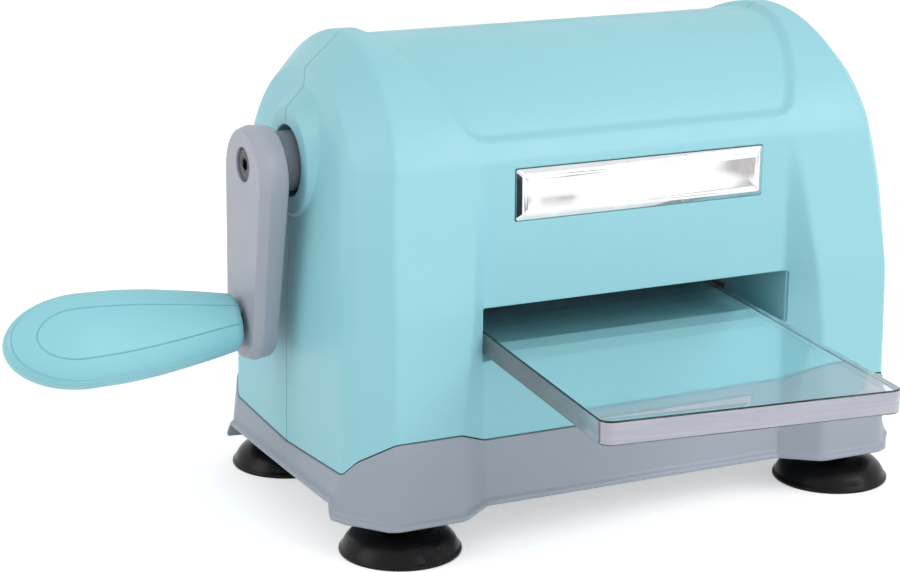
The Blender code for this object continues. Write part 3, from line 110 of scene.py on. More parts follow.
# Turned forms on the crank's axis: radius, distance to the left of the middle
BOSS_PROFILE = ((0, 117.0), (31.6, 117.0), (31.0, 118.5), (22.3, 126.6), (21.8, 127.0), (21.2, 127.2),
                (0, 127.2))
BORE_PROFILE = ((0, 114.0), (14.7, 114.0), (14.7, 126.7), (15.0, 127.05), (15.4, 127.2), (15.4, 131.0),
                (0, 131.0))
# Screw posts: radius, wall left over their ends, reach of the low ones; holes in front, wells behind
POST_R, POST_END_WALL, LOW_POST_REACH = 3.8, 3.5, 76.5
PILOT_R, PILOT_DEPTH = 1.8, 11.3
WELL_PROFILE = ((0, -4.0), (1.8, -4.0), (1.8, 13.0), (3.0, 13.0), (3.0, 84.0), (0, 84.0))
POST_PLACES = ((98.0, 182.0), (106.0, 60.0))
# The hollow reaches below the foot, and the solids run past the seam
HOLLOW_DROP, SHELL_PAST, HOLLOW_PAST, PILOT_PAST = 16.0, 1.0, 4.0, 4
# Beyond the housing in every direction, for cutters
BEYOND_X, BEYOND_Y, BEYOND_Z = 140, 90.0, 215
# From the shoulder to the foot: share of the way down, share of the pillars' flare and of the spread
FLARE = ((0.0, 0.0), (0.12, 0.20), (0.24, 0.42), (0.36, 0.61), (0.58, 0.94), (1.0, 1.0))
SPREAD = ((0.0, 0.0), (0.12, 0.30), (0.24, 0.54), (0.36, 0.70), (0.58, 0.92), (1.0, 1.0))
# From the crest to the foot: share of the way down, share of the end's bulge
END_FACE = ((0.0, 0.0), (0.04, 0.03), (0.15, 0.36), (0.24, 0.55), (0.39, 0.72), (0.72, 0.94), (1.0, 1.0))


# Mesh helpers

CARVE_SLIVER, LOFT_SLIVER, MERGE = 0.0005, 0.005, 0.01


def smooth_curve(rows):
    """A function that passes through the rows of a table without overshoot."""
    xs = [row[0] for row in rows]
    ys = [row[1] for row in rows]
    steps = [(y2 - y1) / (x2 - x1) for x1, x2, y1, y2 in zip(xs, xs[1:], ys, ys[1:])]
    slopes = [steps[0]]
    for before, after in zip(steps, steps[1:]):
        slopes.append(2 * before * after / (before + after) if before * after > 0 else 0.0)
    slopes.append(steps[-1])

    def read(x):
        x = min(max(x, xs[0]), xs[-1])
        index = max(i for i in range(len(xs) - 1) if x >= xs[i])
        width = xs[index + 1] - xs[index]
        t = (x - xs[index]) / width
        return (ys[index] * (1 + 2 * t) * (1 - t) ** 2 + ys[index + 1] * t * t * (3 - 2 * t)
                + width * (slopes[index] * t * (1 - t) ** 2 - slopes[index + 1] * t * t * (1 - t)))
    return read


def shade(bm, angle):
    """Smooth shading, except at edges sharper than the angle."""
    limit = math.radians(angle)
    for face in bm.faces:
        face.smooth = True
    for edge in bm.edges:
        edge.smooth = not (edge.is_manifold and edge.calc_face_angle(0.0) > limit)


def linked(name, data):
    """A new object with this data, in the scene."""
    made = bpy.data.objects.new(name, data)
    bpy.context.scene.collection.objects.link(made)
    return made


def object_from(name, bm):
    mesh = bpy.data.meshes.new(name)
    bm.to_mesh(mesh)
    bm.free()
    return linked(name, mesh)


def piece_from(name, bm, angle=32):
    """A mesh object in millimetres, with its faces turned outward and its shading set."""
    bmesh.ops.recalc_face_normals(bm, faces=bm.faces)
    bmesh.ops.triangulate(bm, faces=[face for face in bm.faces if len(face.verts) > 4])
    shade(bm, angle)
    return object_from(name, bm)


def loft(name, rings, angle=32):
    """Joins rings of points, one after the other, and closes both ends."""
    bm = bmesh.new()
    lines = [[bm.verts.new(point) for point in ring] for ring in rings]
    count = len(rings[0])
    for low, high in zip(lines, lines[1:]):
        for index in range(count):
            after = (index + 1) % count
            bm.faces.new((low[index], low[after], high[after], high[index]))
    bm.faces.new(lines[0])
    bm.faces.new(list(reversed(lines[-1])))
    return piece_from(name, bm, angle)


def lathe(name, profile, steps=96, angle=32, ring=False):
    """Turns a profile of (radius, height) about Z. Its ends are on the axis, or it is a ring."""
    bm = bmesh.new()
    lines = []
    for radius, height in profile:
        if radius <= 0:
            lines.append([bm.verts.new((0, 0, height))])
            continue
        turns = [math.tau * k / steps for k in range(steps)]
        lines.append([bm.verts.new((radius * math.cos(turn), radius * math.sin(turn), height))
                      for turn in turns])
    pairs = list(zip(lines, lines[1:]))
    if ring:
        pairs.append((lines[-1], lines[0]))
    for low, high in pairs:
        for k in range(steps):
            after = (k + 1) % steps
            corners = [low[k % len(low)], low[after % len(low)],
                       high[after % len(high)], high[k % len(high)]]
            bm.faces.new(list(dict.fromkeys(corners)))
    return piece_from(name, bm, angle)


def moved(made, matrix):
    made.data.transform(matrix)
    if matrix.determinant() < 0:
        made.data.flip_normals()
    return made


def joined(name, pieces):
    """One mesh of several that don't touch each other."""
    bm = bmesh.new()
    for made in pieces:
        bm.from_mesh(made.data)
        bpy.data.objects.remove(made)
    return object_from(name, bm)


def carve(target, tool, operation="DIFFERENCE", angle=32):
    """Applies an exact Boolean, and removes the tool."""
    step = target.modifiers.new("carve", "BOOLEAN")
    step.operation = operation
    step.solver = "EXACT"
    step.object = tool
    graph = bpy.context.evaluated_depsgraph_get()
    result = bpy.data.meshes.new_from_object(target.evaluated_get(graph), depsgraph=graph)
    target.modifiers.clear()
    old = target.data
    target.data = result
    bpy.data.meshes.remove(old)
    bpy.data.objects.remove(tool)
    bm = bmesh.new()
    bm.from_mesh(target.data)
    bmesh.ops.dissolve_degenerate(bm, edges=bm.edges, dist=CARVE_SLIVER)
    shade(bm, angle)
    bm.to_mesh(target.data)
    bm.free()
    return target


def block(name, low, high):
    (x1, y1, z1), (x2, y2, z2) = low, high
    return loft(name, [[(x1, y1, z), (x2, y1, z), (x2, y2, z), (x1, y2, z)] for z in (z1, z2)])


def round_rod(name, radius, start, end, steps=48):
    """A plain rod between two points, used to cut or to join."""
    start = Vector(start)
    end = Vector(end)
    turn = (end - start).to_track_quat("Z", "Y").to_matrix().to_4x4()
    length = (end - start).length
    made = lathe(name, [(0, 0), (radius, 0), (radius, length), (0, length)], steps)
    return moved(made, Matrix.Translation(start) @ turn)


def rounded_box_outline(half_x, low_z, top_z, radius, steps=6):
    """Points of an upright rounded rectangle, (x, z)."""
    points = []
    corners = ((half_x - radius, low_z + radius, -90), (half_x - radius, top_z - radius, 0),
               (radius - half_x, top_z - radius, 90), (radius - half_x, low_z + radius, 180))
    for x, z, start in corners:
        for step in range(steps + 1):
            angle = math.radians(start + 90 * step / steps)
            points.append((x + radius * math.cos(angle), z + radius * math.sin(angle)))
    return points


def settle(made, body, slot, *nodes):
    """Puts a finished piece in place of its CAD nodes."""
    moved(made, DOWN_TO_METRES)
    weighted = made.modifiers.new("weighted", "WEIGHTED_NORMAL")
    weighted.keep_sharp = True
    made.data.materials.clear()
    made.data.materials.append(MATERIALS[slot])
    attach(made, body)
    if nodes:
        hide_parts(*nodes)
    return made


# Materials

def fill(node, values):
    """Sets inputs of a node by their names."""
    for name, value in values.items():
        node.inputs[name].default_value = value


def nodes_of(name):
    made = bpy.data.materials.new(name)
    made.use_nodes = True
    tree = made.node_tree
    shader = tree.nodes["Principled BSDF"]
    return made, tree, shader


def noise(tree, scale, detail=2.0, stretch=None):
    """Noise in object space; scale is in cells per metre."""
    place = tree.nodes.new("ShaderNodeTexCoord")
    texture = tree.nodes.new("ShaderNodeTexNoise")
    fill(texture, {"Scale": scale, "Detail": detail})
    source = place.outputs["Object"]
    if stretch:
        mapping = tree.nodes.new("ShaderNodeMapping")
        fill(mapping, {"Scale": stretch})
        tree.links.new(source, mapping.inputs["Vector"])
        source = mapping.outputs["Vector"]
    tree.links.new(source, texture.inputs["Vector"])
    return texture.outputs["Fac"]


def ranged(tree, source, low, high, start=0.35, end=0.65):
    """Maps the middle of a noise to a range."""
    node = tree.nodes.new("ShaderNodeMapRange")
    fill(node, {"From Min": start, "From Max": end, "To Min": low, "To Max": high})
    tree.links.new(source, node.inputs["Value"])
    return node.outputs["Result"]


def mixed(tree, source, first, second):
    """Mixes two colours by a value from 0 to 1."""
    node = tree.nodes.new("ShaderNodeMix")
    node.data_type = "RGBA"
    fill(node, {"A": (*first, 1), "B": (*second, 1)})
    tree.links.new(source, node.inputs["Factor"])
    return node.outputs["Result"]


def bumped(tree, shader, source, strength, distance):
    node = tree.nodes.new("ShaderNodeBump")
    fill(node, {"Strength": strength, "Distance": distance})
    tree.links.new(source, node.inputs["Height"])
    tree.links.new(node.outputs["Normal"], shader.inputs["Normal"])


def moulded(name, colour, shift, roughness, grain=0.06, specular=0.5):
    """Moulded plastic: a faint drift of colour, uneven gloss and a fine texture from the tool."""
    made, tree, shader = nodes_of(name)
    low = tuple(value * (1 - shift) for value in colour)
    high = tuple(min(1.0, value * (1 + shift)) for value in colour)
    drift = ranged(tree, noise(tree, 14.0, 3.0), 0.0, 1.0)
    tree.links.new(mixed(tree, drift, low, high), shader.inputs["Base Color"])
    uneven = ranged(tree, noise(tree, 60.0, 4.0), roughness - 0.04, roughness + 0.05)
    tree.links.new(uneven, shader.inputs["Roughness"])
    fill(shader, {"Specular IOR Level": specular})
    bumped(tree, shader, noise(tree, 2600.0, 2.0), grain, 0.00008)
    return made


def metal(name, colour, roughness, stretch=None, scale=400.0, grain=0.05):
    """Bare metal with fine marks from machining or rolling."""
    made, tree, shader = nodes_of(name)
    marks = noise(tree, scale, 4.0, stretch)
    low = tuple(value * 0.9 for value in colour)
    tree.links.new(mixed(tree, ranged(tree, marks, 0.0, 1.0), low, colour), shader.inputs["Base Color"])
    tree.links.new(ranged(tree, marks, roughness * 0.8, roughness * 1.25), shader.inputs["Roughness"])
    fill(shader, {"Metallic": 1.0})
    bumped(tree, shader, marks, grain, 0.00005)
    return made


ACRYLIC_IOR = 1.49


def acrylic(name):
    """Clear sheet with a trace of haze where hands and dies have rubbed it."""
    made, tree, shader = nodes_of(name)
    fill(shader, {"Base Color": (0.89, 0.96, 0.97, 1), "Transmission Weight": 1.0, "IOR": ACRYLIC_IOR})
    haze = ranged(tree, noise(tree, 90.0, 5.0), 0.015, 0.05)
    tree.links.new(haze, shader.inputs["Roughness"])
    bumped(tree, shader, noise(tree, 30.0, 2.0), 0.02, 0.0002)
    return made


def cut_edge(name, dark, light, clear, roughness):
    """The sawn and lightly polished edge of the sheet, which scatters light; fine streaks run along it."""
    made, tree, shader = nodes_of(name)
    streaks = ranged(tree, noise(tree, 40.0, 5.0, (1.0, 1.0, 22.0)), 0.0, 1.0)
    tree.links.new(mixed(tree, streaks, dark, light), shader.inputs["Base Color"])
    fill(shader, {"Transmission Weight": clear, "IOR": ACRYLIC_IOR})
    tree.links.new(ranged(tree, noise(tree, 160.0, 4.0), roughness - 0.05, roughness + 0.08),
                   shader.inputs["Roughness"])
    bumped(tree, shader, noise(tree, 300.0, 3.0, (1.0, 1.0, 6.0)), 0.05, 0.0001)
    return made


FRONT_EDGE = cut_edge("sawn_edge", (0.475, 0.49, 0.59), (0.565, 0.56, 0.63), 0.15, 0.34)
SIDE_EDGE = cut_edge("polished_edge", (0.66, 0.66, 0.74), (0.84, 0.80, 0.84), 0.80, 0.12)

MATERIALS = {
    "housing_aqua": moulded("housing_aqua", (0.302, 0.645, 0.722), 0.012, 0.42),
    "handle_aqua": moulded("handle_aqua", (0.275, 0.630, 0.700), 0.015, 0.40),
    "base_grey": moulded("base_grey", (0.340, 0.385, 0.445), 0.02, 0.45),
    "arm_grey": moulded("arm_grey", (0.400, 0.418, 0.483), 0.02, 0.40),
    "hub_grey": moulded("hub_grey", (0.200, 0.225, 0.260), 0.03, 0.42),
    "cup_rubber": moulded("cup_rubber", (0.006, 0.006, 0.007), 0.10, 0.28, grain=0.03, specular=0.16),
    "nameplate_chrome": metal("nameplate_chrome", (0.84, 0.84, 0.85), 0.05, scale=120.0, grain=0.01),
    # bright_steel is darkened and tinted blue far below bare steel as painted shade, so the rollers seen in
    # the slot match its shaded inside
    "bright_steel": metal("bright_steel", (0.16, 0.185, 0.21), 0.30, (0.05, 1.0, 1.0)),
    "plated_sheet": metal("plated_sheet", (0.55, 0.56, 0.58), 0.38, scale=160.0),
    "dark_screw": metal("dark_screw", (0.075, 0.078, 0.085), 0.36),
    "bronze_bush": metal("bronze_bush", (0.36, 0.25, 0.13), 0.42),
    "gear_steel": metal("gear_steel", (0.42, 0.42, 0.44), 0.36),
    "clear_acrylic": acrylic("clear_acrylic"),
}
for subpart in frame["record"]["subparts"]:
    node = frame["nodes"].get(subpart["node"])
    if node:
        node.data.materials.clear()
        node.data.materials.append(MATERIALS[subpart["material_slot"]])


# Housing

read_flare = smooth_curve(FLARE)
read_spread = smooth_curve(SPREAD)
read_end_face = smooth_curve(END_FACE)
read_panel_side = smooth_curve(PANEL_SIDE)
# How far before its corners a row starts to round, at most this share of the gap to the next corner
SETBACKS = (1.6, 1.8, 1.9, 2.4, 2.4)
LARGEST_SETBACK = 0.45
SHOULDER_RUN = 1.7
TINY = 1e-9


def control_points(run, inset=0.0, arch_inset=0.0):
    """Corner points of one row from the middle of the front to the middle of the end, at a run in
    millimetres along the front's profile, counted up from the shoulder."""
    if run <= 0:
        share = -run / (SHOULDER_Z - FOOT_FACE)
        spread = read_spread(share)
        pillar_z = SHOULDER_Z - (SHOULDER_Z - FOOT_PILLAR) * share
        edge_x = EDGE_SHOULDER + (EDGE_FOOT - EDGE_SHOULDER) * spread
        end_x = END_SHOULDER + (END_FOOT - END_SHOULDER) * spread
        end_y = END_SHOULDER_Y + (END_FOOT_Y - END_SHOULDER_Y) * spread
        face_z = SHOULDER_Z + run
        end_z = SHOULDER_Z - (SHOULDER_Z - FOOT_END) * share
        corner_z = SHOULDER_Z - (SHOULDER_Z - FOOT_CORNER) * share
        mid_z = SHOULDER_Z - (SHOULDER_Z - FOOT_MID) * share
        face_y = FACE_Y - inset
        front_y = FACE_Y + (PILLAR_Y - FACE_Y) * read_flare(share) - inset
        pillar_in = PILLAR_IN_TOP + (PILLAR_IN_FOOT - PILLAR_IN_TOP) * share
    else:
        angle = SHOULDER + run / ARCH_R
        turn = run / CREST_RUN
        pillar_in = PILLAR_IN_TOP
        radius = ARCH_R - arch_inset
        face_y = front_y = radius * math.cos(angle)
        face_z = pillar_z = ARCH_Z + radius * math.sin(angle)
        edge_x = EDGE_SHOULDER + (EDGE_CREST - EDGE_SHOULDER) * math.sin(math.radians(90) * turn)
        end_x = END_SHOULDER + (END_CREST - END_SHOULDER) * turn
        centre = END_CREST_Z - END_R
        start = math.asin((SHOULDER_Z - centre) / END_R)
        end_angle = start + (math.radians(90) - start) * turn
        end_y = END_SHOULDER_Y * math.cos(end_angle) / math.cos(start)
        end_z = corner_z = mid_z = centre + (END_R - arch_inset) * math.sin(end_angle)
    end_y = max(end_y - inset, 0.0)
    end_x -= inset
    down = (END_CREST_Z - mid_z) / (END_CREST_Z - FOOT_MID)
    middle = END_CREST + (BULGE_FOOT - END_CREST) * read_end_face(down)
    middle -= inset
    corner_x = end_x + (middle - end_x) * END_CORNER_SHARE
    return np.array([(0.0, face_y, face_z), (FACE_HALF, face_y, face_z), (pillar_in, front_y, pillar_z),
                     (edge_x - inset / 2, front_y, pillar_z), (end_x, end_y, end_z),
                     (corner_x, end_y * CORNER_SHARE, corner_z), (middle, 0.0, mid_z)])


def softened_points(run):
    """Corner points with the shoulder's crease rounded."""
    if abs(run) >= SHOULDER_RUN:
        return control_points(run)
    t = (run + SHOULDER_RUN) / (2 * SHOULDER_RUN)
    return (control_points(-SHOULDER_RUN) * (1 - t) ** 2 + control_points(0.0) * 2 * t * (1 - t)
            + control_points(SHOULDER_RUN) * t * t)


# Mesh steps along a row: between its corners, round them, and over the end face
PIECES_ACROSS = (28, 10, 34, 4, 2)
CORNER_CUTS = (4, 4, 5, 5, 4)
END_SHARES = (0.012, 0.024, 0.036, 0.048, 0.06, 0.12, 0.2, 0.32, 0.46, 0.6, 0.74, 0.88, 0.97, 1.0)


def row_points(run):
    """A whole quarter row, with its corners rounded and the end face bulged."""
    points = softened_points(run)
    out = []
    gaps = [np.linalg.norm(b - a) for a, b in zip(points, points[1:])]
    backs = [min(back, gaps[i] * LARGEST_SETBACK, gaps[i + 1] * LARGEST_SETBACK)
             for i, back in enumerate(SETBACKS)]
    start = points[0]
    for index, back in enumerate(backs):
        corner = points[index + 1]
        before = corner + (points[index] - corner) * (back / max(gaps[index], TINY))
        after = corner + (points[index + 2] - corner) * (back / max(gaps[index + 1], TINY))
        count = PIECES_ACROSS[index]
        out += [start + (before - start) * k / count for k in range(count)]
        cuts = CORNER_CUTS[index]
        for k in range(cuts):
            t = k / cuts
            out.append(before * (1 - t) ** 2 + corner * 2 * t * (1 - t) + after * t * t)
        start = after
    corner, middle = points[5], points[6]
    begin = np.linalg.norm(start - corner) / max(gaps[5], TINY)
    rise = (middle[0] - points[4][0]) * END_BULGE
    for share in (0.0, *END_SHARES):
        along = begin + (1 - begin) * share
        spot = corner + (middle - corner) * along
        spot = spot + np.array((rise * along * (1 - along), 0.0, 0.0))
        out.append(spot)
    return out


def panel_depth(x, run):
    """How deep the recessed panel is at a place on the drum."""
    across = abs(x) - (read_panel_side(run) - PANEL_R)
    down = PANEL_R - (run - PANEL_START)
    inside = PANEL_R - (math.hypot(across, down) if across > 0 and down > 0 else max(across, down))
    t = min(max(inside / PANEL_SLOPE, 0.0), 1.0)
    ease = 0.22
    if t < ease:
        share = t * t / (2 * ease)
    elif t > 1 - ease:
        share = 1 - ease - (1 - t) ** 2 / (2 * ease)
    else:
        share = t - ease / 2
    return PANEL_DEPTH * share / (1 - ease)


def spaced(start, end, count):
    return [start + (end - start) * k / count for k in range(1, count + 1)]


FOOT_RUN = FOOT_FACE - SHOULDER_Z
RUNS = [FOOT_RUN] + spaced(FOOT_RUN, -SHOULDER_RUN, 24) + spaced(-SHOULDER_RUN, SHOULDER_RUN, 8)
PANEL_BORDER_END = PANEL_START + 17
RUNS += spaced(SHOULDER_RUN, PANEL_START, 3) + spaced(PANEL_START, PANEL_BORDER_END, 20)
RUNS += spaced(PANEL_BORDER_END, CREST_RUN, 24)


def fine_rows():
    rows = []
    for run in RUNS:
        row = row_points(run)
        angle = SHOULDER + run / ARCH_R
        for point in row:
            if run > 0:
                depth = panel_depth(point[0], run)
                point[1] -= depth * math.cos(angle)
                point[2] -= depth * math.sin(angle)
        rows.append(row)
    return rows


def coarse_rows(inset, arch_inset, drop):
    """The same form with plain corners, for the hollow inside."""
    runs = [FOOT_RUN] + spaced(FOOT_RUN, 0.0, 5) + spaced(0.0, CREST_RUN, 8)
    rows = [list(control_points(run, inset, arch_inset)) for run in runs]
    return [[point - np.array((0, 0, drop)) for point in rows[0]]] + rows


def closed_half(name, rows, side, past):
    """One half of the form as a closed solid that runs past the seam; side is -1 in front, 1 behind."""
    bm = bmesh.new()
    grid = []
    for row in rows:
        half = [(x, side * y, z) for x, y, z in row]
        left = [(-x, y, z) for x, y, z in reversed(half[1:])]
        grid.append([bm.verts.new(point) for point in left + half])
    for line in grid:
        line[0].co.y = line[-1].co.y = -side * past
    for vertex in grid[-1]:
        vertex.co.y = -side * past
    foot = [bm.verts.new((vertex.co.x, -side * past, vertex.co.z)) for vertex in grid[0]]
    for low, high in zip(grid, grid[1:]):
        for index in range(len(low) - 1):
            bm.faces.new((low[index], low[index + 1], high[index + 1], high[index]))
    for index in range(len(foot) - 1):
        bm.faces.new((foot[index], foot[index + 1], grid[0][index + 1], grid[0][index]))
    left_edge = [line[0] for line in grid[1:-1]]
    right_edge = [line[-1] for line in grid[1:-1]]
    bm.faces.new([grid[0][0]] + foot[1:-1] + [grid[0][-1]] + right_edge + list(reversed(grid[-1]))
                 + list(reversed(left_edge)))
    bmesh.ops.remove_doubles(bm, verts=bm.verts, dist=MERGE)
    bmesh.ops.dissolve_degenerate(bm, edges=bm.edges, dist=LOFT_SLIVER)
    return piece_from(name, bm)


MOUTH_STEPS, MOUTH_PAST = 5, 3.0


def mouth(name, half, low, top, face_y, depth_y, side, corner=0.7, lip=0.4):
    """A cutter for an opening in the face whose mouth is rounded over; face_y and depth_y are positive."""
    rings = []
    spots = [(depth_y, 0.0), (face_y - lip, 0.0)]
    for step in range(1, MOUTH_STEPS + 1):
        angle = math.radians(90 * step / MOUTH_STEPS)
        spots.append((face_y - lip + lip * math.sin(angle), lip * (1 - math.cos(angle))))
    spots.append((face_y + MOUTH_PAST, lip))
    for y, grow in spots:
        outline = rounded_box_outline(half + grow, low - grow, top + grow, corner + grow)
        rings.append([(x, side * y, z) for x, z in outline])
    return loft(name, rings)


FINE_ROWS = fine_rows()
CRANK_PLACE = Matrix.Translation((0, 0, CRANK_Z))
ALONG_LEFT = Matrix.Rotation(math.radians(-90), 4, "Y")
ALONG_BACK = Matrix.Rotation(math.radians(-90), 4, "X")
POSTS = [(way * x, z) for x, z in POST_PLACES for way in (-1, 1)]


def housing(side, name):
    """One half of the moulded shell, with the slot's sleeve, the crank's boss and the screw posts."""
    shell = closed_half(name, FINE_ROWS, side, SHELL_PAST)
    hollow = coarse_rows(WALL, WALL + PANEL_DEPTH, HOLLOW_DROP)
    carve(shell, closed_half(name + "_hollow", hollow, side, HOLLOW_PAST))
    boss = moved(lathe(name + "_boss", BOSS_PROFILE, 128), CRANK_PLACE @ ALONG_LEFT)
    ends = sorted((side * SLEEVE_END, side * (FACE_Y - WALL / 2)))
    sleeve = block(name + "_sleeve", (-SLOT_HALF - SLEEVE_WALL, ends[0], SLOT_LOW - SLEEVE_WALL),
                   (SLOT_HALF + SLEEVE_WALL, ends[1], SLOT_TOP + SLEEVE_WALL))
    ends = sorted((side * LIP_START, side * LIP_END))
    lip = block(name + "_lip", (-SLOT_HALF - LIP_PAST, ends[0], SLOT_LOW - LIP_THICK),
                (SLOT_HALF + LIP_PAST, ends[1], SLOT_LOW - LIP_UNDER))
    added = [boss, sleeve]
    cuts = [mouth(name + "_slot", SLOT_HALF, SLOT_LOW, SLOT_TOP, FACE_Y, SLEEVE_CUT, side)]
    cuts.append(moved(lathe(name + "_bore", BORE_PROFILE, 96), CRANK_PLACE @ ALONG_LEFT))
    if side < 0:
        cuts.append(mouth(name + "_pocket", NAME_HALF + NAME_GAP, NAME_LOW - NAME_GAP, NAME_TOP + NAME_GAP,
                          FACE_Y, FACE_Y - POCKET_DEPTH, side, corner=POCKET_CORNER_R))
    for index, (x, z) in enumerate(POSTS):
        reach = LOW_POST_REACH
        if z > SHOULDER_Z:
            reach = math.sqrt((ARCH_R - POST_END_WALL) ** 2 - (z - ARCH_Z) ** 2)
        added.append(round_rod("%s_post_%d" % (name, index), POST_R, (x, 0, z), (x, side * reach, z), 32))
        if side < 0:
            cuts.append(round_rod("%s_pilot_%d" % (name, index), PILOT_R, (x, PILOT_PAST, z),
                                  (x, -PILOT_DEPTH, z), 24))
        else:
            well = lathe("%s_well_%d" % (name, index), WELL_PROFILE, 32)
            cuts.append(moved(well, Matrix.Translation((x, 0, z)) @ ALONG_BACK))
    carve(shell, joined(name + "_added", added), "UNION")
    carve(shell, lip, "UNION")
    carve(shell, joined(name + "_cuts", cuts))
    ends = sorted((side * HALF_GAP, -side * BEYOND_Y))
    carve(shell, block(name + "_beyond", (-BEYOND_X, ends[0], 0), (BEYOND_X, ends[1], BEYOND_Z)), angle=28)
    return settle(shell, "machine", "housing_aqua", "housing_front" if side < 0 else "housing_rear")


housing(-1, "shell_front")
housing(1, "shell_rear")


# Base

# The tray's underside at its low sides, and its rise at the ends
TRAY_LOW, TRAY_RISE, RISE_START, RISE_RUN = 15.9, 6.1, 57.5, 3.5
TRAY_END_X, TRAY_GAP = 100, 0.5
TRAY_SPLAY, SPLAY_FOOT = 3.4, 18.0
# The tray's wall: distance outward, what the height counts from, height
TRAY_PROFILE = ((-2.4, "table", 22.5), (-2.4, "low", 0.5), (-2.0, "low", 0.0), (1.9, "low", 0.0),
                (2.35, "low", 0.25), (2.6, "low", 0.8), (2.6, "low", 1.6), (2.35, "low", 2.15),
                (1.9, "low", 2.45), (1.3, "low", 2.75), (0.8, "low", 3.3), (0.6, "low", 4.2),
                (0.6, "top", -0.8), (0.45, "top", -0.25), (0.05, "top", 0.0), (-2.1, "top", 0.0),
                (-2.4, "top", -0.3), (-2.4, "table", 25.5))
CUP_X, CUP_Y = 104.0, 59.5
FRAME_FOOT_X, FRAME_FOOT_Y = 68.5, 23.0
# Holes in the tray's floor for the cups' studs and the frames' screws
STUD_HOLE_R, SCREW_HOLE_R, HOLE_LOW, HOLE_TOP = 3.3, 2.1, 19, 29
# The cup's outside from its neck to its rim, and its hollow from the rim to the middle
CUP_PROFILE = ((0, 10.1), (3.3, 10.1), (3.3, 22.2), (8.0, 22.2), (8.0, 13.4), (8.3, 12.3), (9.2, 11.5),
               (10.8, 11.0), (13.2, 10.6), (15.6, 10.0), (17.9, 9.1), (20.0, 7.8), (21.7, 6.2), (22.9, 4.5),
               (23.6, 3.0), (24.0, 2.2), (24.5, 1.75), (24.9, 1.35), (25.0, 0.8), (24.9, 0.3), (24.6, 0.0),
               (22.8, 0.0), (20.0, 1.2), (12.0, 3.4), (0, 4.2))


def base():
    """Tray that follows the housing's foot, with raised, splayed ends and a bead along its lower edge."""
    foot = [np.array(point) for point in FINE_ROWS[0]]
    quarter = [(float(x), float(-y), float(z)) for x, y, z in foot]
    loop = quarter + [(x, -y, z) for x, y, z in reversed(quarter[:-1])]
    loop += [(-x, -y, z) for x, y, z in quarter[1:]] + [(-x, y, z) for x, y, z in reversed(quarter[1:-1])]
    count = len(loop)
    outward = []
    for index in range(count):
        ahead = loop[(index + 1) % count]
        behind = loop[index - 1]
        along = Vector((ahead[0] - behind[0], ahead[1] - behind[1])).normalized()
        outward.append((along.y, -along.x))

    def low_at(x, y):
        if abs(x) <= TRAY_END_X:
            return TRAY_LOW
        t = min(max((RISE_START - abs(y)) / RISE_RUN, 0.0), 1.0)
        return TRAY_LOW + TRAY_RISE * t * t * (3 - 2 * t)

    def ring(spread, mark, height):
        points = []
        for (x, y, z), (nx, ny) in zip(loop, outward):
            level = {"table": 0.0, "low": low_at(x, y), "top": z - TRAY_GAP}[mark] + height
            down = min(max((z - level) / (z - SPLAY_FOOT), 0.0), 1.0)
            splay = TRAY_SPLAY * nx ** 4 * down if spread > 0 else 0.0
            points.append((x + nx * (spread + splay), y + ny * spread, level))
        return points

    tray = loft("tray", [ring(*row) for row in TRAY_PROFILE], angle=40)
    holes = []
    for kind, radius, far_x, far_y, steps in (("hole", STUD_HOLE_R, CUP_X, CUP_Y, 32),
                                              ("pin", SCREW_HOLE_R, FRAME_FOOT_X, FRAME_FOOT_Y, 24)):
        holes += [round_rod("tray_%s_%d_%d" % (kind, x, y), radius, (x, y, HOLE_LOW), (x, y, HOLE_TOP), steps)
                  for x in (-far_x, far_x) for y in (-far_y, far_y)]
    carve(tray, joined("tray_holes", holes), angle=40)
    return settle(tray, "machine", "base_grey", "base_tray")


base()


def cup(name, x, y):
    """A rubber suction cup: domed outside, thin rim, hollow underneath, with the neck that holds its stud."""
    made = lathe(name, CUP_PROFILE, 96, angle=50)
    moved(made, Matrix.Translation((x, y, 0)))
    return settle(made, "machine", "cup_rubber", "suction_" + name)


for end, end_x in (("left", -CUP_X), ("right", CUP_X)):
    for row_name, row_y in (("front", -CUP_Y), ("rear", CUP_Y)):
        cup("cup_%s_%s" % (row_name, end), end_x, row_y)


# Nameplate

# From the pocket's floor to the face: depth, distance in from the outline
NAMEPLATE_STEPS = ((0.0, 0.0), (-1.3, 0.0), (-1.5, 0.08), (-1.65, 0.25), (-2.85, 1.9), (-3.0, 2.2),
                   (-3.02, 2.8), (-2.97, 3.6), (-2.94, 4.6), (-2.94, 8.0))
# How fast the corners' radius shrinks with the distance in
CORNER_LOSS_SHARE = 0.1


def nameplate():
    """Chromed plate with a broad bevel and a softly pillowed face, bare of any lettering."""
    back = -FACE_Y + NAME_SUNK
    rings = []
    for depth, inward in NAMEPLATE_STEPS:
        outline = rounded_box_outline(NAME_HALF - inward, NAME_LOW + inward, NAME_TOP - inward,
                                      max(NAME_CORNER_R - inward * CORNER_LOSS_SHARE, NAME_CORNER_LEAST), 4)
        rings.append([(x, back + depth, z) for x, z in outline])
    made = loft("badge_plate", rings, angle=24)
    return settle(made, "machine", "nameplate_chrome", "nameplate")


nameplate()


# Crank

TILT = math.radians(5.0)
ARM_BACK, ARM_FACE = 133.6, 146.2
ARM_LENGTH, ARM_DROP = 67.2, 5.0
ARM_HUB_R, ARM_GRIP_R = 20.6, 16.4
# The back leans outward below the hub: how much, from where, over what length
ARM_TAPER, TAPER_START, TAPER_RUN = 1.6, 14.0, 50.0
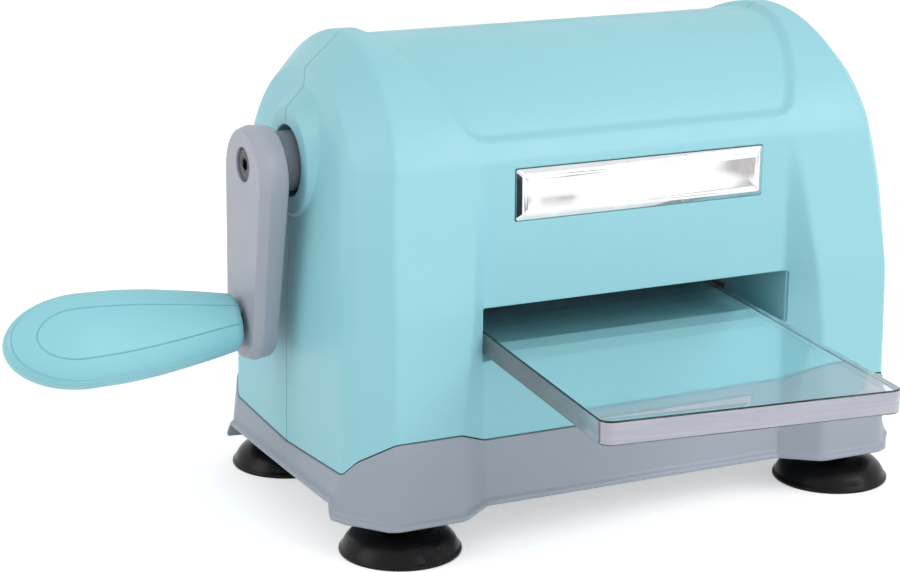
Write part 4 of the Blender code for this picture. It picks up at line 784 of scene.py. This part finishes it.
# Distance from the back or the face, and how far the outline shrinks there
ARM_BACK_LEVELS = ((0.0, 1.9), (0.3, 1.2), (1.0, 0.8))
ARM_FACE_LEVELS = ((4.5, 0.0), (3.9, 0.06), (3.2, 0.25), (0.9, 1.15), (0.35, 1.42), (0.08, 1.8), (0.0, 2.4))
SHAFT_R, PIN_R, PIN_SEAT = 5.3, 4.3, 9.3
BOLT_SUNK, BOLT_HEAD, BOLT_LENGTH, BOLT_TIP_IN = 0.8, 4.0, 12.0, 0.6
BOLT_R, SOCKET_R, SOCKET_DEPTH, SOCKET_PAST = 3.0, 2.7, 2.5, 2
HUB_R, HUB_EASE, HUB_RIM, HUB_GAP, HUB_CHAMFER = 12.3, 0.4, 12.1, 0.3, 0.7
WELL_GAP, SHAFT_PAST, SHAFT_SEAT, CRANK_PAST = 0.3, 4, 4.0, 4
# Radius, and height from the face: the rim of the arm's well, and the bolt's head
WELL_RIM = ((7.12, -0.3), (7.25, -0.08), (7.45, 0.0))
BOLT_RIM = ((7.0, -0.75), (6.85, -0.35), (6.5, -0.08), (6.0, 0.0), (3.4, 0.0), (3.1, -0.25), (0, -0.25))
ARM_PLACE = CRANK_PLACE @ Matrix.Rotation(TILT, 4, "X")


def arm_outline(shrink, steps=40):
    """Two circles and their common tangents; the shaft is a little above the middle of the upper circle."""
    hub = ARM_HUB_R - shrink
    grip = ARM_GRIP_R - shrink
    lean = math.asin((hub - grip) / (ARM_LENGTH - ARM_DROP))
    points = []
    for step in range(steps + 1):
        angle = -lean + (math.pi + 2 * lean) * step / steps
        points.append((hub * math.cos(angle), -ARM_DROP + hub * math.sin(angle)))
    for step in range(steps + 1):
        angle = math.pi + lean + (math.pi - 2 * lean) * step / steps
        points.append((grip * math.cos(angle), -ARM_LENGTH + grip * math.sin(angle)))
    return points


def arm():
    """A flat cheek round the shaft and the handle's pin, its back tapered and its face eased."""
    rings = []
    for depth, shrink in ARM_BACK_LEVELS:
        ring = []
        for y, z in arm_outline(shrink):
            share = min(max((-z - TAPER_START) / TAPER_RUN, 0.0), 1.0)
            ring.append((-ARM_BACK - depth - ARM_TAPER * share, y, z))
        rings.append(ring)
    for depth, shrink in ARM_FACE_LEVELS:
        rings.append([(-ARM_FACE + depth, y, z) for y, z in arm_outline(shrink)])
    made = loft("arm", rings, angle=40)
    seat = ARM_FACE - BOLT_SUNK - BOLT_HEAD - WELL_GAP
    past = ARM_FACE + CRANK_PAST
    rim = [(radius, ARM_FACE + height) for radius, height in WELL_RIM]
    well = lathe("arm_well", [(0, seat), (rim[0][0], seat), *rim, (rim[-1][0], past), (0, past)], 64)
    start, end = ARM_BACK - SHAFT_PAST, ARM_FACE - SHAFT_SEAT
    shaft = lathe("arm_shaft", [(0, start), (SHAFT_R, start), (SHAFT_R, end), (0, end)], 48)
    for tool in (well, shaft):
        moved(tool, ALONG_LEFT)
    carve(made, well, angle=40)
    carve(made, shaft, angle=40)
    pin_low = ARM_FACE - PIN_SEAT
    pin = lathe("arm_pin", [(0, pin_low), (PIN_R, pin_low), (PIN_R, past), (0, past)], 48)
    carve(made, moved(pin, Matrix.Translation((0, 0, -ARM_LENGTH)) @ ALONG_LEFT), angle=40)
    moved(made, ARM_PLACE)
    return settle(made, "crank", "arm_grey", "crank_arm")


def hub():
    """The collar between the boss and the arm, bored for the shaft."""
    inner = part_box("crank_hub")[1].x
    start = (ORIGIN.x - inner) * METRE
    end = ARM_BACK - HUB_GAP
    made = lathe("hub", [(SHAFT_R, start), (HUB_R - HUB_EASE, start), (HUB_R, start + HUB_EASE),
                         (HUB_R, ARM_BACK - HUB_CHAMFER), (HUB_RIM, end), (SHAFT_R, end)], 96, ring=True)
    moved(made, CRANK_PLACE @ ALONG_LEFT)
    return settle(made, "crank", "hub_grey", "crank_hub")


def bolt():
    """The bolt in the shaft's end, with a six-sided socket."""
    face = ARM_FACE - BOLT_SUNK
    seat = face - BOLT_HEAD
    tip = seat - BOLT_LENGTH + BOLT_TIP_IN
    rim = [(radius, face + height) for radius, height in BOLT_RIM]
    made = lathe("bolt", [(0, tip), (BOLT_R, tip), (BOLT_R, seat), (rim[0][0], seat), *rim], 64)
    floor, past = face - SOCKET_DEPTH, face + SOCKET_PAST
    socket = lathe("bolt_socket", [(0, floor), (SOCKET_R, floor), (SOCKET_R, past), (0, past)], 6)
    moved(made, ALONG_LEFT)
    carve(made, moved(socket, ALONG_LEFT))
    moved(made, CRANK_PLACE)
    return settle(made, "crank", "dark_screw", "crank_bolt")


arm()
hub()
bolt()


# Handle

GRIP_GAP = 2.3
GRIP_ROOT = ARM_FACE + GRIP_GAP
GRIP_LENGTH = 97.2
GRIP_RAKE = math.radians(35)
GRIP_PLACE = (ARM_PLACE @ Matrix.Translation((-GRIP_ROOT, 0, -ARM_LENGTH))
              @ Matrix.Rotation(-GRIP_RAKE - TILT, 4, "X"))
# Half width and half thickness at the root, and what the paddle gains up to its widest place
ROOT_HALF, WIDE_GAIN, WIDE_HALF = 11.6, 8.1, 19.7
ROOT_THICK, THICK_GAIN, WIDE_THICK = 10.0, 1.0, 11.0
ROUND = 2.4
ROOT_EASE, ROOT_SHRINK = 0.016, 1.2
PARTING, SHELL_GAP = 5.0, 0.08
INLAY_ROOT, INLAY_HALF, INLAY_START, INLAY_TIP, INLAY_GAP = 3.8, 10.5, 68.0, 17.2, 0.12
GROOVE_R = 0.42
# The inlay's sides bow out; the joint's groove keeps off the paddle's edge and bulges round the tip
INLAY_BOW, JOINT_END_SHARE, JOINT_LEAST, JOINT_OUT, JOINT_BULGE_SHARE = 1.15, 0.985, 0.4, 0.1, 0.15
# Share of the length, share of the gain in width, share of the gain in thickness
GRIP_ROWS = ((0.0, 0.0, 0.0), (0.12, 0.30, 0.12), (0.26, 0.60, 0.30), (0.40, 0.84, 0.55),
             (0.54, 0.97, 0.80), (0.66, 1.0, 0.95))
TIP_FADE, LAST_SHARE = 0.8, 0.9995
ROWS_TO_WIDEST, ROWS_TO_TIP, AROUND = 40, 22, 72
INLAY_STEPS, INLAY_TIP_STEPS, JOINT_STEPS, JOINT_TIP_STEPS = 16, 32, 60, 12
# Cutters' reach past the tip, root and sides; then the inlay's pocket and the pin's bore
TIP_PAST, ROOT_PAST, SIDE_PAST, INLAY_PAST, GROOVE_PAST = 104, 4, 26, 16.0, 2.0
POCKET_FLOOR, INLAY_BACK, PIN_BORE = 7.8, 7.5, 56.3
read_wide = smooth_curve([(row[0], row[1]) for row in GRIP_ROWS])
read_deep = smooth_curve([(row[0], row[2]) for row in GRIP_ROWS])


def grip_half(share):
    """Half width and half thickness of the paddle at a share of its length."""
    widest = GRIP_ROWS[-1][0]
    if share <= widest:
        return ROOT_HALF + WIDE_GAIN * read_wide(share), ROOT_THICK + THICK_GAIN * read_deep(share)
    t = (share - widest) / (1 - widest)
    fade = math.sqrt(max(1 - t * t, 0.0))
    return WIDE_HALF * fade, WIDE_THICK * fade ** TIP_FADE


def grip(name):
    """The whole paddle, before the shells and the inlay are cut."""
    widest = GRIP_ROWS[-1][0]
    shares = [k / ROWS_TO_WIDEST * widest for k in range(ROWS_TO_WIDEST + 1)]
    shares += [widest + (1 - widest) * math.sin(math.radians(90 * k / ROWS_TO_TIP))
               for k in range(1, ROWS_TO_TIP)]
    shares.append(LAST_SHARE)
    rings = []
    for share in shares:
        half, thick = grip_half(share)
        if share < ROOT_EASE:
            fall = 1 - math.sqrt(max(1 - (1 - share / ROOT_EASE) ** 2, 0.0))
            half -= ROOT_SHRINK * fall
            thick -= ROOT_SHRINK * fall
        ring = []
        for k in range(AROUND):
            angle = math.tau * k / AROUND
            wide = abs(math.cos(angle)) ** (2 / ROUND) * math.copysign(1, math.cos(angle))
            deep = abs(math.sin(angle)) ** (2 / ROUND) * math.copysign(1, math.sin(angle))
            ring.append((-GRIP_LENGTH * share, thick * deep, half * wide))
        rings.append(ring)
    return loft(name, rings, angle=60)


def face_depth(share, z):
    """How far in front of its middle the paddle's surface is, at a share of its length and a height."""
    half, thick = grip_half(share)
    return thick * max(1 - (abs(z) / half) ** ROUND, 0.0) ** (1 / ROUND)


def inlay_line(spread=0.0):
    """The thumb inlay's outline as (x, z), open at the root of the grip."""
    root, half, tip = INLAY_ROOT + spread, INLAY_HALF + spread, INLAY_TIP + spread
    points = []
    for k in range(INLAY_STEPS + 1):
        t = k / INLAY_STEPS
        bow = math.sin(math.radians(90) * t) ** INLAY_BOW
        points.append((-INLAY_START * t, root + (half - root) * bow))
    for step in range(1, INLAY_TIP_STEPS):
        angle = math.radians(90 - 180 * step / INLAY_TIP_STEPS)
        points.append((-INLAY_START - tip * math.cos(angle), half * math.sin(angle)))
    return points + [(x, -z) for x, z in reversed(points[:INLAY_STEPS + 1])]


def inlay_form(name, spread, back_y):
    line = inlay_line(spread)
    points = [(ROOT_PAST, line[-1][1]), (ROOT_PAST, line[0][1])] + line
    return loft(name, [[(x, y, z) for x, z in points] for y in (back_y, -INLAY_PAST)])


def groove(name, path, radius, steps=10):
    """A round-bottomed groove's cutter along a path on the paddle."""
    rings = []
    for index, spot in enumerate(path):
        ahead = Vector(path[min(index + 1, len(path) - 1)]) - Vector(path[max(index - 1, 0)])
        side = ahead.cross(Vector((0, 1, 0))).normalized()
        front = side.cross(ahead).normalized()
        rings.append([tuple(Vector(spot) + (side * math.cos(math.tau * k / steps)
                                            + front * math.sin(math.tau * k / steps)) * radius)
                      for k in range(steps)])
    return loft(name, rings)


def inlay_groove(name):
    """Round the thumb inlay, on the paddle's surface."""
    path = [(x, -face_depth(-x / GRIP_LENGTH, z) - INLAY_GAP, z) for x, z in inlay_line(INLAY_GAP)]
    path = [(GROOVE_PAST, *path[0][1:])] + path + [(GROOVE_PAST, *path[-1][1:])]
    return groove(name, path, GROOVE_R)


def parting_groove(name):
    """Along the joint of the two shells, round the paddle's tip."""
    path = []
    for k in range(JOINT_STEPS + 1):
        share = JOINT_END_SHARE * math.sin(math.radians(90) * k / JOINT_STEPS)
        half, thick = grip_half(share)
        if thick <= PARTING + JOINT_LEAST:
            break
        path.append((share, half * (1 - (PARTING / thick) ** ROUND) ** (1 / ROUND)))
    low = [(-GRIP_LENGTH * share, -PARTING, -z - JOINT_OUT) for share, z in path]
    tip_x, tip_z = low[-1][0], path[-1][1]
    for step in range(1, JOINT_TIP_STEPS):
        angle = math.radians(180 * step / JOINT_TIP_STEPS)
        low.append((tip_x - JOINT_BULGE_SHARE * tip_z * math.sin(angle), -PARTING, -tip_z * math.cos(angle)))
    high = [(-GRIP_LENGTH * share, -PARTING, z + JOINT_OUT) for share, z in reversed(path)]
    start, end = (GROOVE_PAST, *low[0][1:]), (GROOVE_PAST, *high[-1][1:])
    return groove(name, [start, *low, *high, end], GROOVE_R)


def handle():
    """A thin front shell with an inlay, and a deeper rear shell that holds the pin."""
    front = grip("grip_front")
    behind = block("behind", (-TIP_PAST, -PARTING - SHELL_GAP, -SIDE_PAST), (ROOT_PAST, SIDE_PAST, SIDE_PAST))
    carve(front, behind, angle=50)
    carve(front, inlay_form("pocket", INLAY_GAP, -POCKET_FLOOR), angle=50)
    rear = grip("grip_rear")
    ahead = block("ahead", (-TIP_PAST, -SIDE_PAST, -SIDE_PAST), (ROOT_PAST, SHELL_GAP - PARTING, SIDE_PAST))
    carve(rear, ahead, angle=50)
    carve(rear, round_rod("bore_rear", PIN_R, (ROOT_PAST, 0, 0), (-PIN_BORE, 0, 0)), angle=50)
    inlay = grip("grip_inlay")
    carve(inlay, inlay_form("inside", 0.0, -INLAY_BACK), "INTERSECT", angle=50)
    for index, made in enumerate((front, inlay)):
        carve(made, inlay_groove("inlay_groove_%d" % index), angle=50)
    for index, made in enumerate((front, rear)):
        carve(made, parting_groove("parting_groove_%d" % index), angle=50)
    for made, node in ((front, "handle_front_half"), (rear, "handle_rear_half"), (inlay, "handle_inlay")):
        moved(made, GRIP_PLACE)
        settle(made, "handle", "handle_aqua", node)


handle()


# Plate

SKEW = math.radians(6.3)
PLATE_HALF_X, PLATE_HALF_Y, PLATE_HALF_Z, PLATE_CORNER_R = 60.3, 102.5, 4.65, 5.0
PLATE_Z = 84.45
# How the plate's edges are eased: distance from the top or bottom, distance inward
PLATE_EASE = ((0.0, 0.6), (0.1, 0.3), (0.3, 0.1), (0.6, 0.0))
# Faces of the edges have normals that rise less than this; the sawn ones turn more than this along Y
EDGE_NORMAL, SAWN_NORMAL = 0.3, 0.35


def plate():
    """Clear plate with cut edges, eased along their corners; the sawn front and the polished sides differ."""
    low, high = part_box("feed_plate")
    middle = ((low.x + high.x) / 2 - ORIGIN.x, (low.y + high.y) / 2 - ORIGIN.y)
    levels = [(-PLATE_HALF_Z + depth, grow) for depth, grow in PLATE_EASE]
    levels += [(PLATE_HALF_Z - depth, grow) for depth, grow in reversed(PLATE_EASE)]
    rings = []
    for z, grow in levels:
        outline = rounded_box_outline(PLATE_HALF_X - grow, grow - PLATE_HALF_Y, PLATE_HALF_Y - grow,
                                      PLATE_CORNER_R - grow, 8)
        rings.append([(x, y, z) for x, y in outline])
    made = loft("clear_plate", rings, angle=40)
    edges = {}
    for face in made.data.polygons:
        if abs(face.normal.z) < EDGE_NORMAL:
            edges[face.index] = 1 if abs(face.normal.y) > SAWN_NORMAL else 2
    place = Matrix.Translation((middle[0] * METRE, middle[1] * METRE, PLATE_Z))
    moved(made, place @ Matrix.Rotation(-SKEW, 4, "Z"))
    settle(made, "platform", "clear_acrylic", "feed_plate")
    made.data.materials.append(FRONT_EDGE)
    made.data.materials.append(SIDE_EDGE)
    for index, material in edges.items():
        made.data.polygons[index].material_index = material


plate()


# Stage, light and camera

FLOOR_HALF, FLOOR_DEPTH, FLOOR_DROP = 3000.0, 10.0, 0.05
# Light that the floor and the world show to the camera beyond what lights the object
FLOOR_GLOW = 0.48
WORLD_LIGHT, WORLD_SEEN = 0.64, 1.0
CAMERA_AZIMUTH, CAMERA_RISE, CAMERA_ROLL = 26.02, 15.11, 0.30
# From the machine's origin, in metres; the lamps' places are in metres too
CAMERA_PLACE = (-0.47963, -0.87344, 0.35193)
CAMERA_LENS, CAMERA_SENSOR, CAMERA_REACH = 94.83, 36.0, 20.0


def stage():
    """A pale floor that keeps the object's shadow."""
    floor = block("floor", (-FLOOR_HALF, -FLOOR_HALF, -FLOOR_DEPTH), (FLOOR_HALF, FLOOR_HALF, -FLOOR_DROP))
    moved(floor, DOWN_TO_METRES)
    made, tree, shader = nodes_of("studio_floor")
    fill(shader, {"Roughness": 0.9, "Specular IOR Level": 0.0, "Emission Color": (1, 1, 1, 1)})
    drift = ranged(tree, noise(tree, 3.0), 0.0, 1.0)
    tree.links.new(mixed(tree, drift, (0.86, 0.86, 0.86), (0.88, 0.88, 0.88)), shader.inputs["Base Color"])
    glow = calculated(tree, "MULTIPLY", seen_only(tree), FLOOR_GLOW)
    tree.links.new(glow, shader.inputs["Emission Strength"])
    floor.data.materials.append(made)


def card(name, low, high, tone):
    """A studio card that only reflections show, for the chrome to have something to mirror."""
    made = block(name, low, high)
    moved(made, DOWN_TO_METRES)
    paint, tree, shader = nodes_of(name)
    fill(shader, {"Base Color": (0, 0, 0, 1), "Specular IOR Level": 0.0,
                  "Emission Color": (*tone, 1), "Emission Strength": 1.0})
    made.data.materials.append(paint)
    made.visible_camera = False
    made.visible_diffuse = False
    made.visible_transmission = False
    made.visible_shadow = False


def calculated(tree, operation, first, second):
    """The output of a Math node; the second input is a socket or a plain number."""
    node = tree.nodes.new("ShaderNodeMath")
    node.operation = operation
    tree.links.new(first, node.inputs[0])
    if isinstance(second, float):
        node.inputs[1].default_value = second
    else:
        tree.links.new(second, node.inputs[1])
    return node.outputs[0]


def seen_only(tree):
    """1 for what the camera sees, directly, in gloss or through glass."""
    path = tree.nodes.new("ShaderNodeLightPath")
    direct = calculated(tree, "MAXIMUM", path.outputs["Is Camera Ray"], path.outputs["Is Glossy Ray"])
    return calculated(tree, "MAXIMUM", direct, path.outputs["Is Transmission Ray"])


def world():
    """White light that the camera sees brighter than it lights."""
    made = bpy.data.worlds.new("studio")
    made.use_nodes = True
    tree = made.node_tree
    background = tree.nodes["Background"]
    fill(background, {"Color": (1, 1, 1, 1)})
    strength = tree.nodes.new("ShaderNodeMapRange")
    fill(strength, {"To Min": WORLD_LIGHT, "To Max": WORLD_SEEN})
    tree.links.new(seen_only(tree), strength.inputs["Value"])
    tree.links.new(strength.outputs["Result"], background.inputs["Strength"])
    bpy.context.scene.world = made


def lamp(name, place, aim, size, watts):
    """A soft box that lights the object but doesn't shine through the clear plate."""
    data = bpy.data.lights.new(name, "AREA")
    data.shape = "RECTANGLE"
    data.size, data.size_y = size
    data.energy = watts
    made = linked(name, data)
    made.location = ORIGIN + Vector(place)
    made.rotation_euler = (Vector(place) - Vector(aim)).to_track_quat("Z", "Y").to_euler()
    made.visible_transmission = False


def camera():
    """The photograph's camera, as fitted to the machine's edges."""
    azimuth, rise, roll = (math.radians(angle) for angle in (CAMERA_AZIMUTH, CAMERA_RISE, CAMERA_ROLL))
    view = Vector((math.sin(azimuth) * math.cos(rise), math.cos(azimuth) * math.cos(rise), -math.sin(rise)))
    right = Vector((math.cos(azimuth), -math.sin(azimuth), 0.0))
    up = right.cross(view)
    across = right * math.cos(roll) + up * math.sin(roll)
    above = up * math.cos(roll) - right * math.sin(roll)
    data = bpy.data.cameras.new("camera")
    data.sensor_width = CAMERA_SENSOR
    data.lens = CAMERA_LENS
    data.clip_end = CAMERA_REACH
    made = linked("camera", data)
    turn = Matrix((across, above, -view)).transposed().to_4x4()
    made.matrix_world = Matrix.Translation(ORIGIN + Vector(CAMERA_PLACE)) @ turn
    bpy.context.scene.camera = made


stage()
card("card_dark", (-640.0, -620.0, 1.0), (-330.0, -330.0, 2.0), (0.030, 0.045, 0.055))
card("card_grey", (396.0, -790.0, 1.0), (432.0, -520.0, 2.0), (0.60, 0.57, 0.57))
card("card_soft", (238.0, -600.0, 1.0), (262.0, -540.0, 2.0), (0.34, 0.34, 0.36))
card("card_high", (120.0, -600.0, 235.0), (460.0, -596.0, 430.0), (0.42, 0.44, 0.47))
world()
lamp("key", (0.9, -1.45, 1.2), (0, 0, 0.08), (1.4, 1.0), 14.4)
lamp("low", (0.30, -1.7, 0.22), (0, 0, 0.06), (1.2, 0.35), 2.4)
lamp("fill", (-1.5, 0.15, 0.85), (0, 0, 0.08), (0.9, 0.9), 5.4)
camera()
bpy.context.scene.view_settings.view_transform = "Standard"
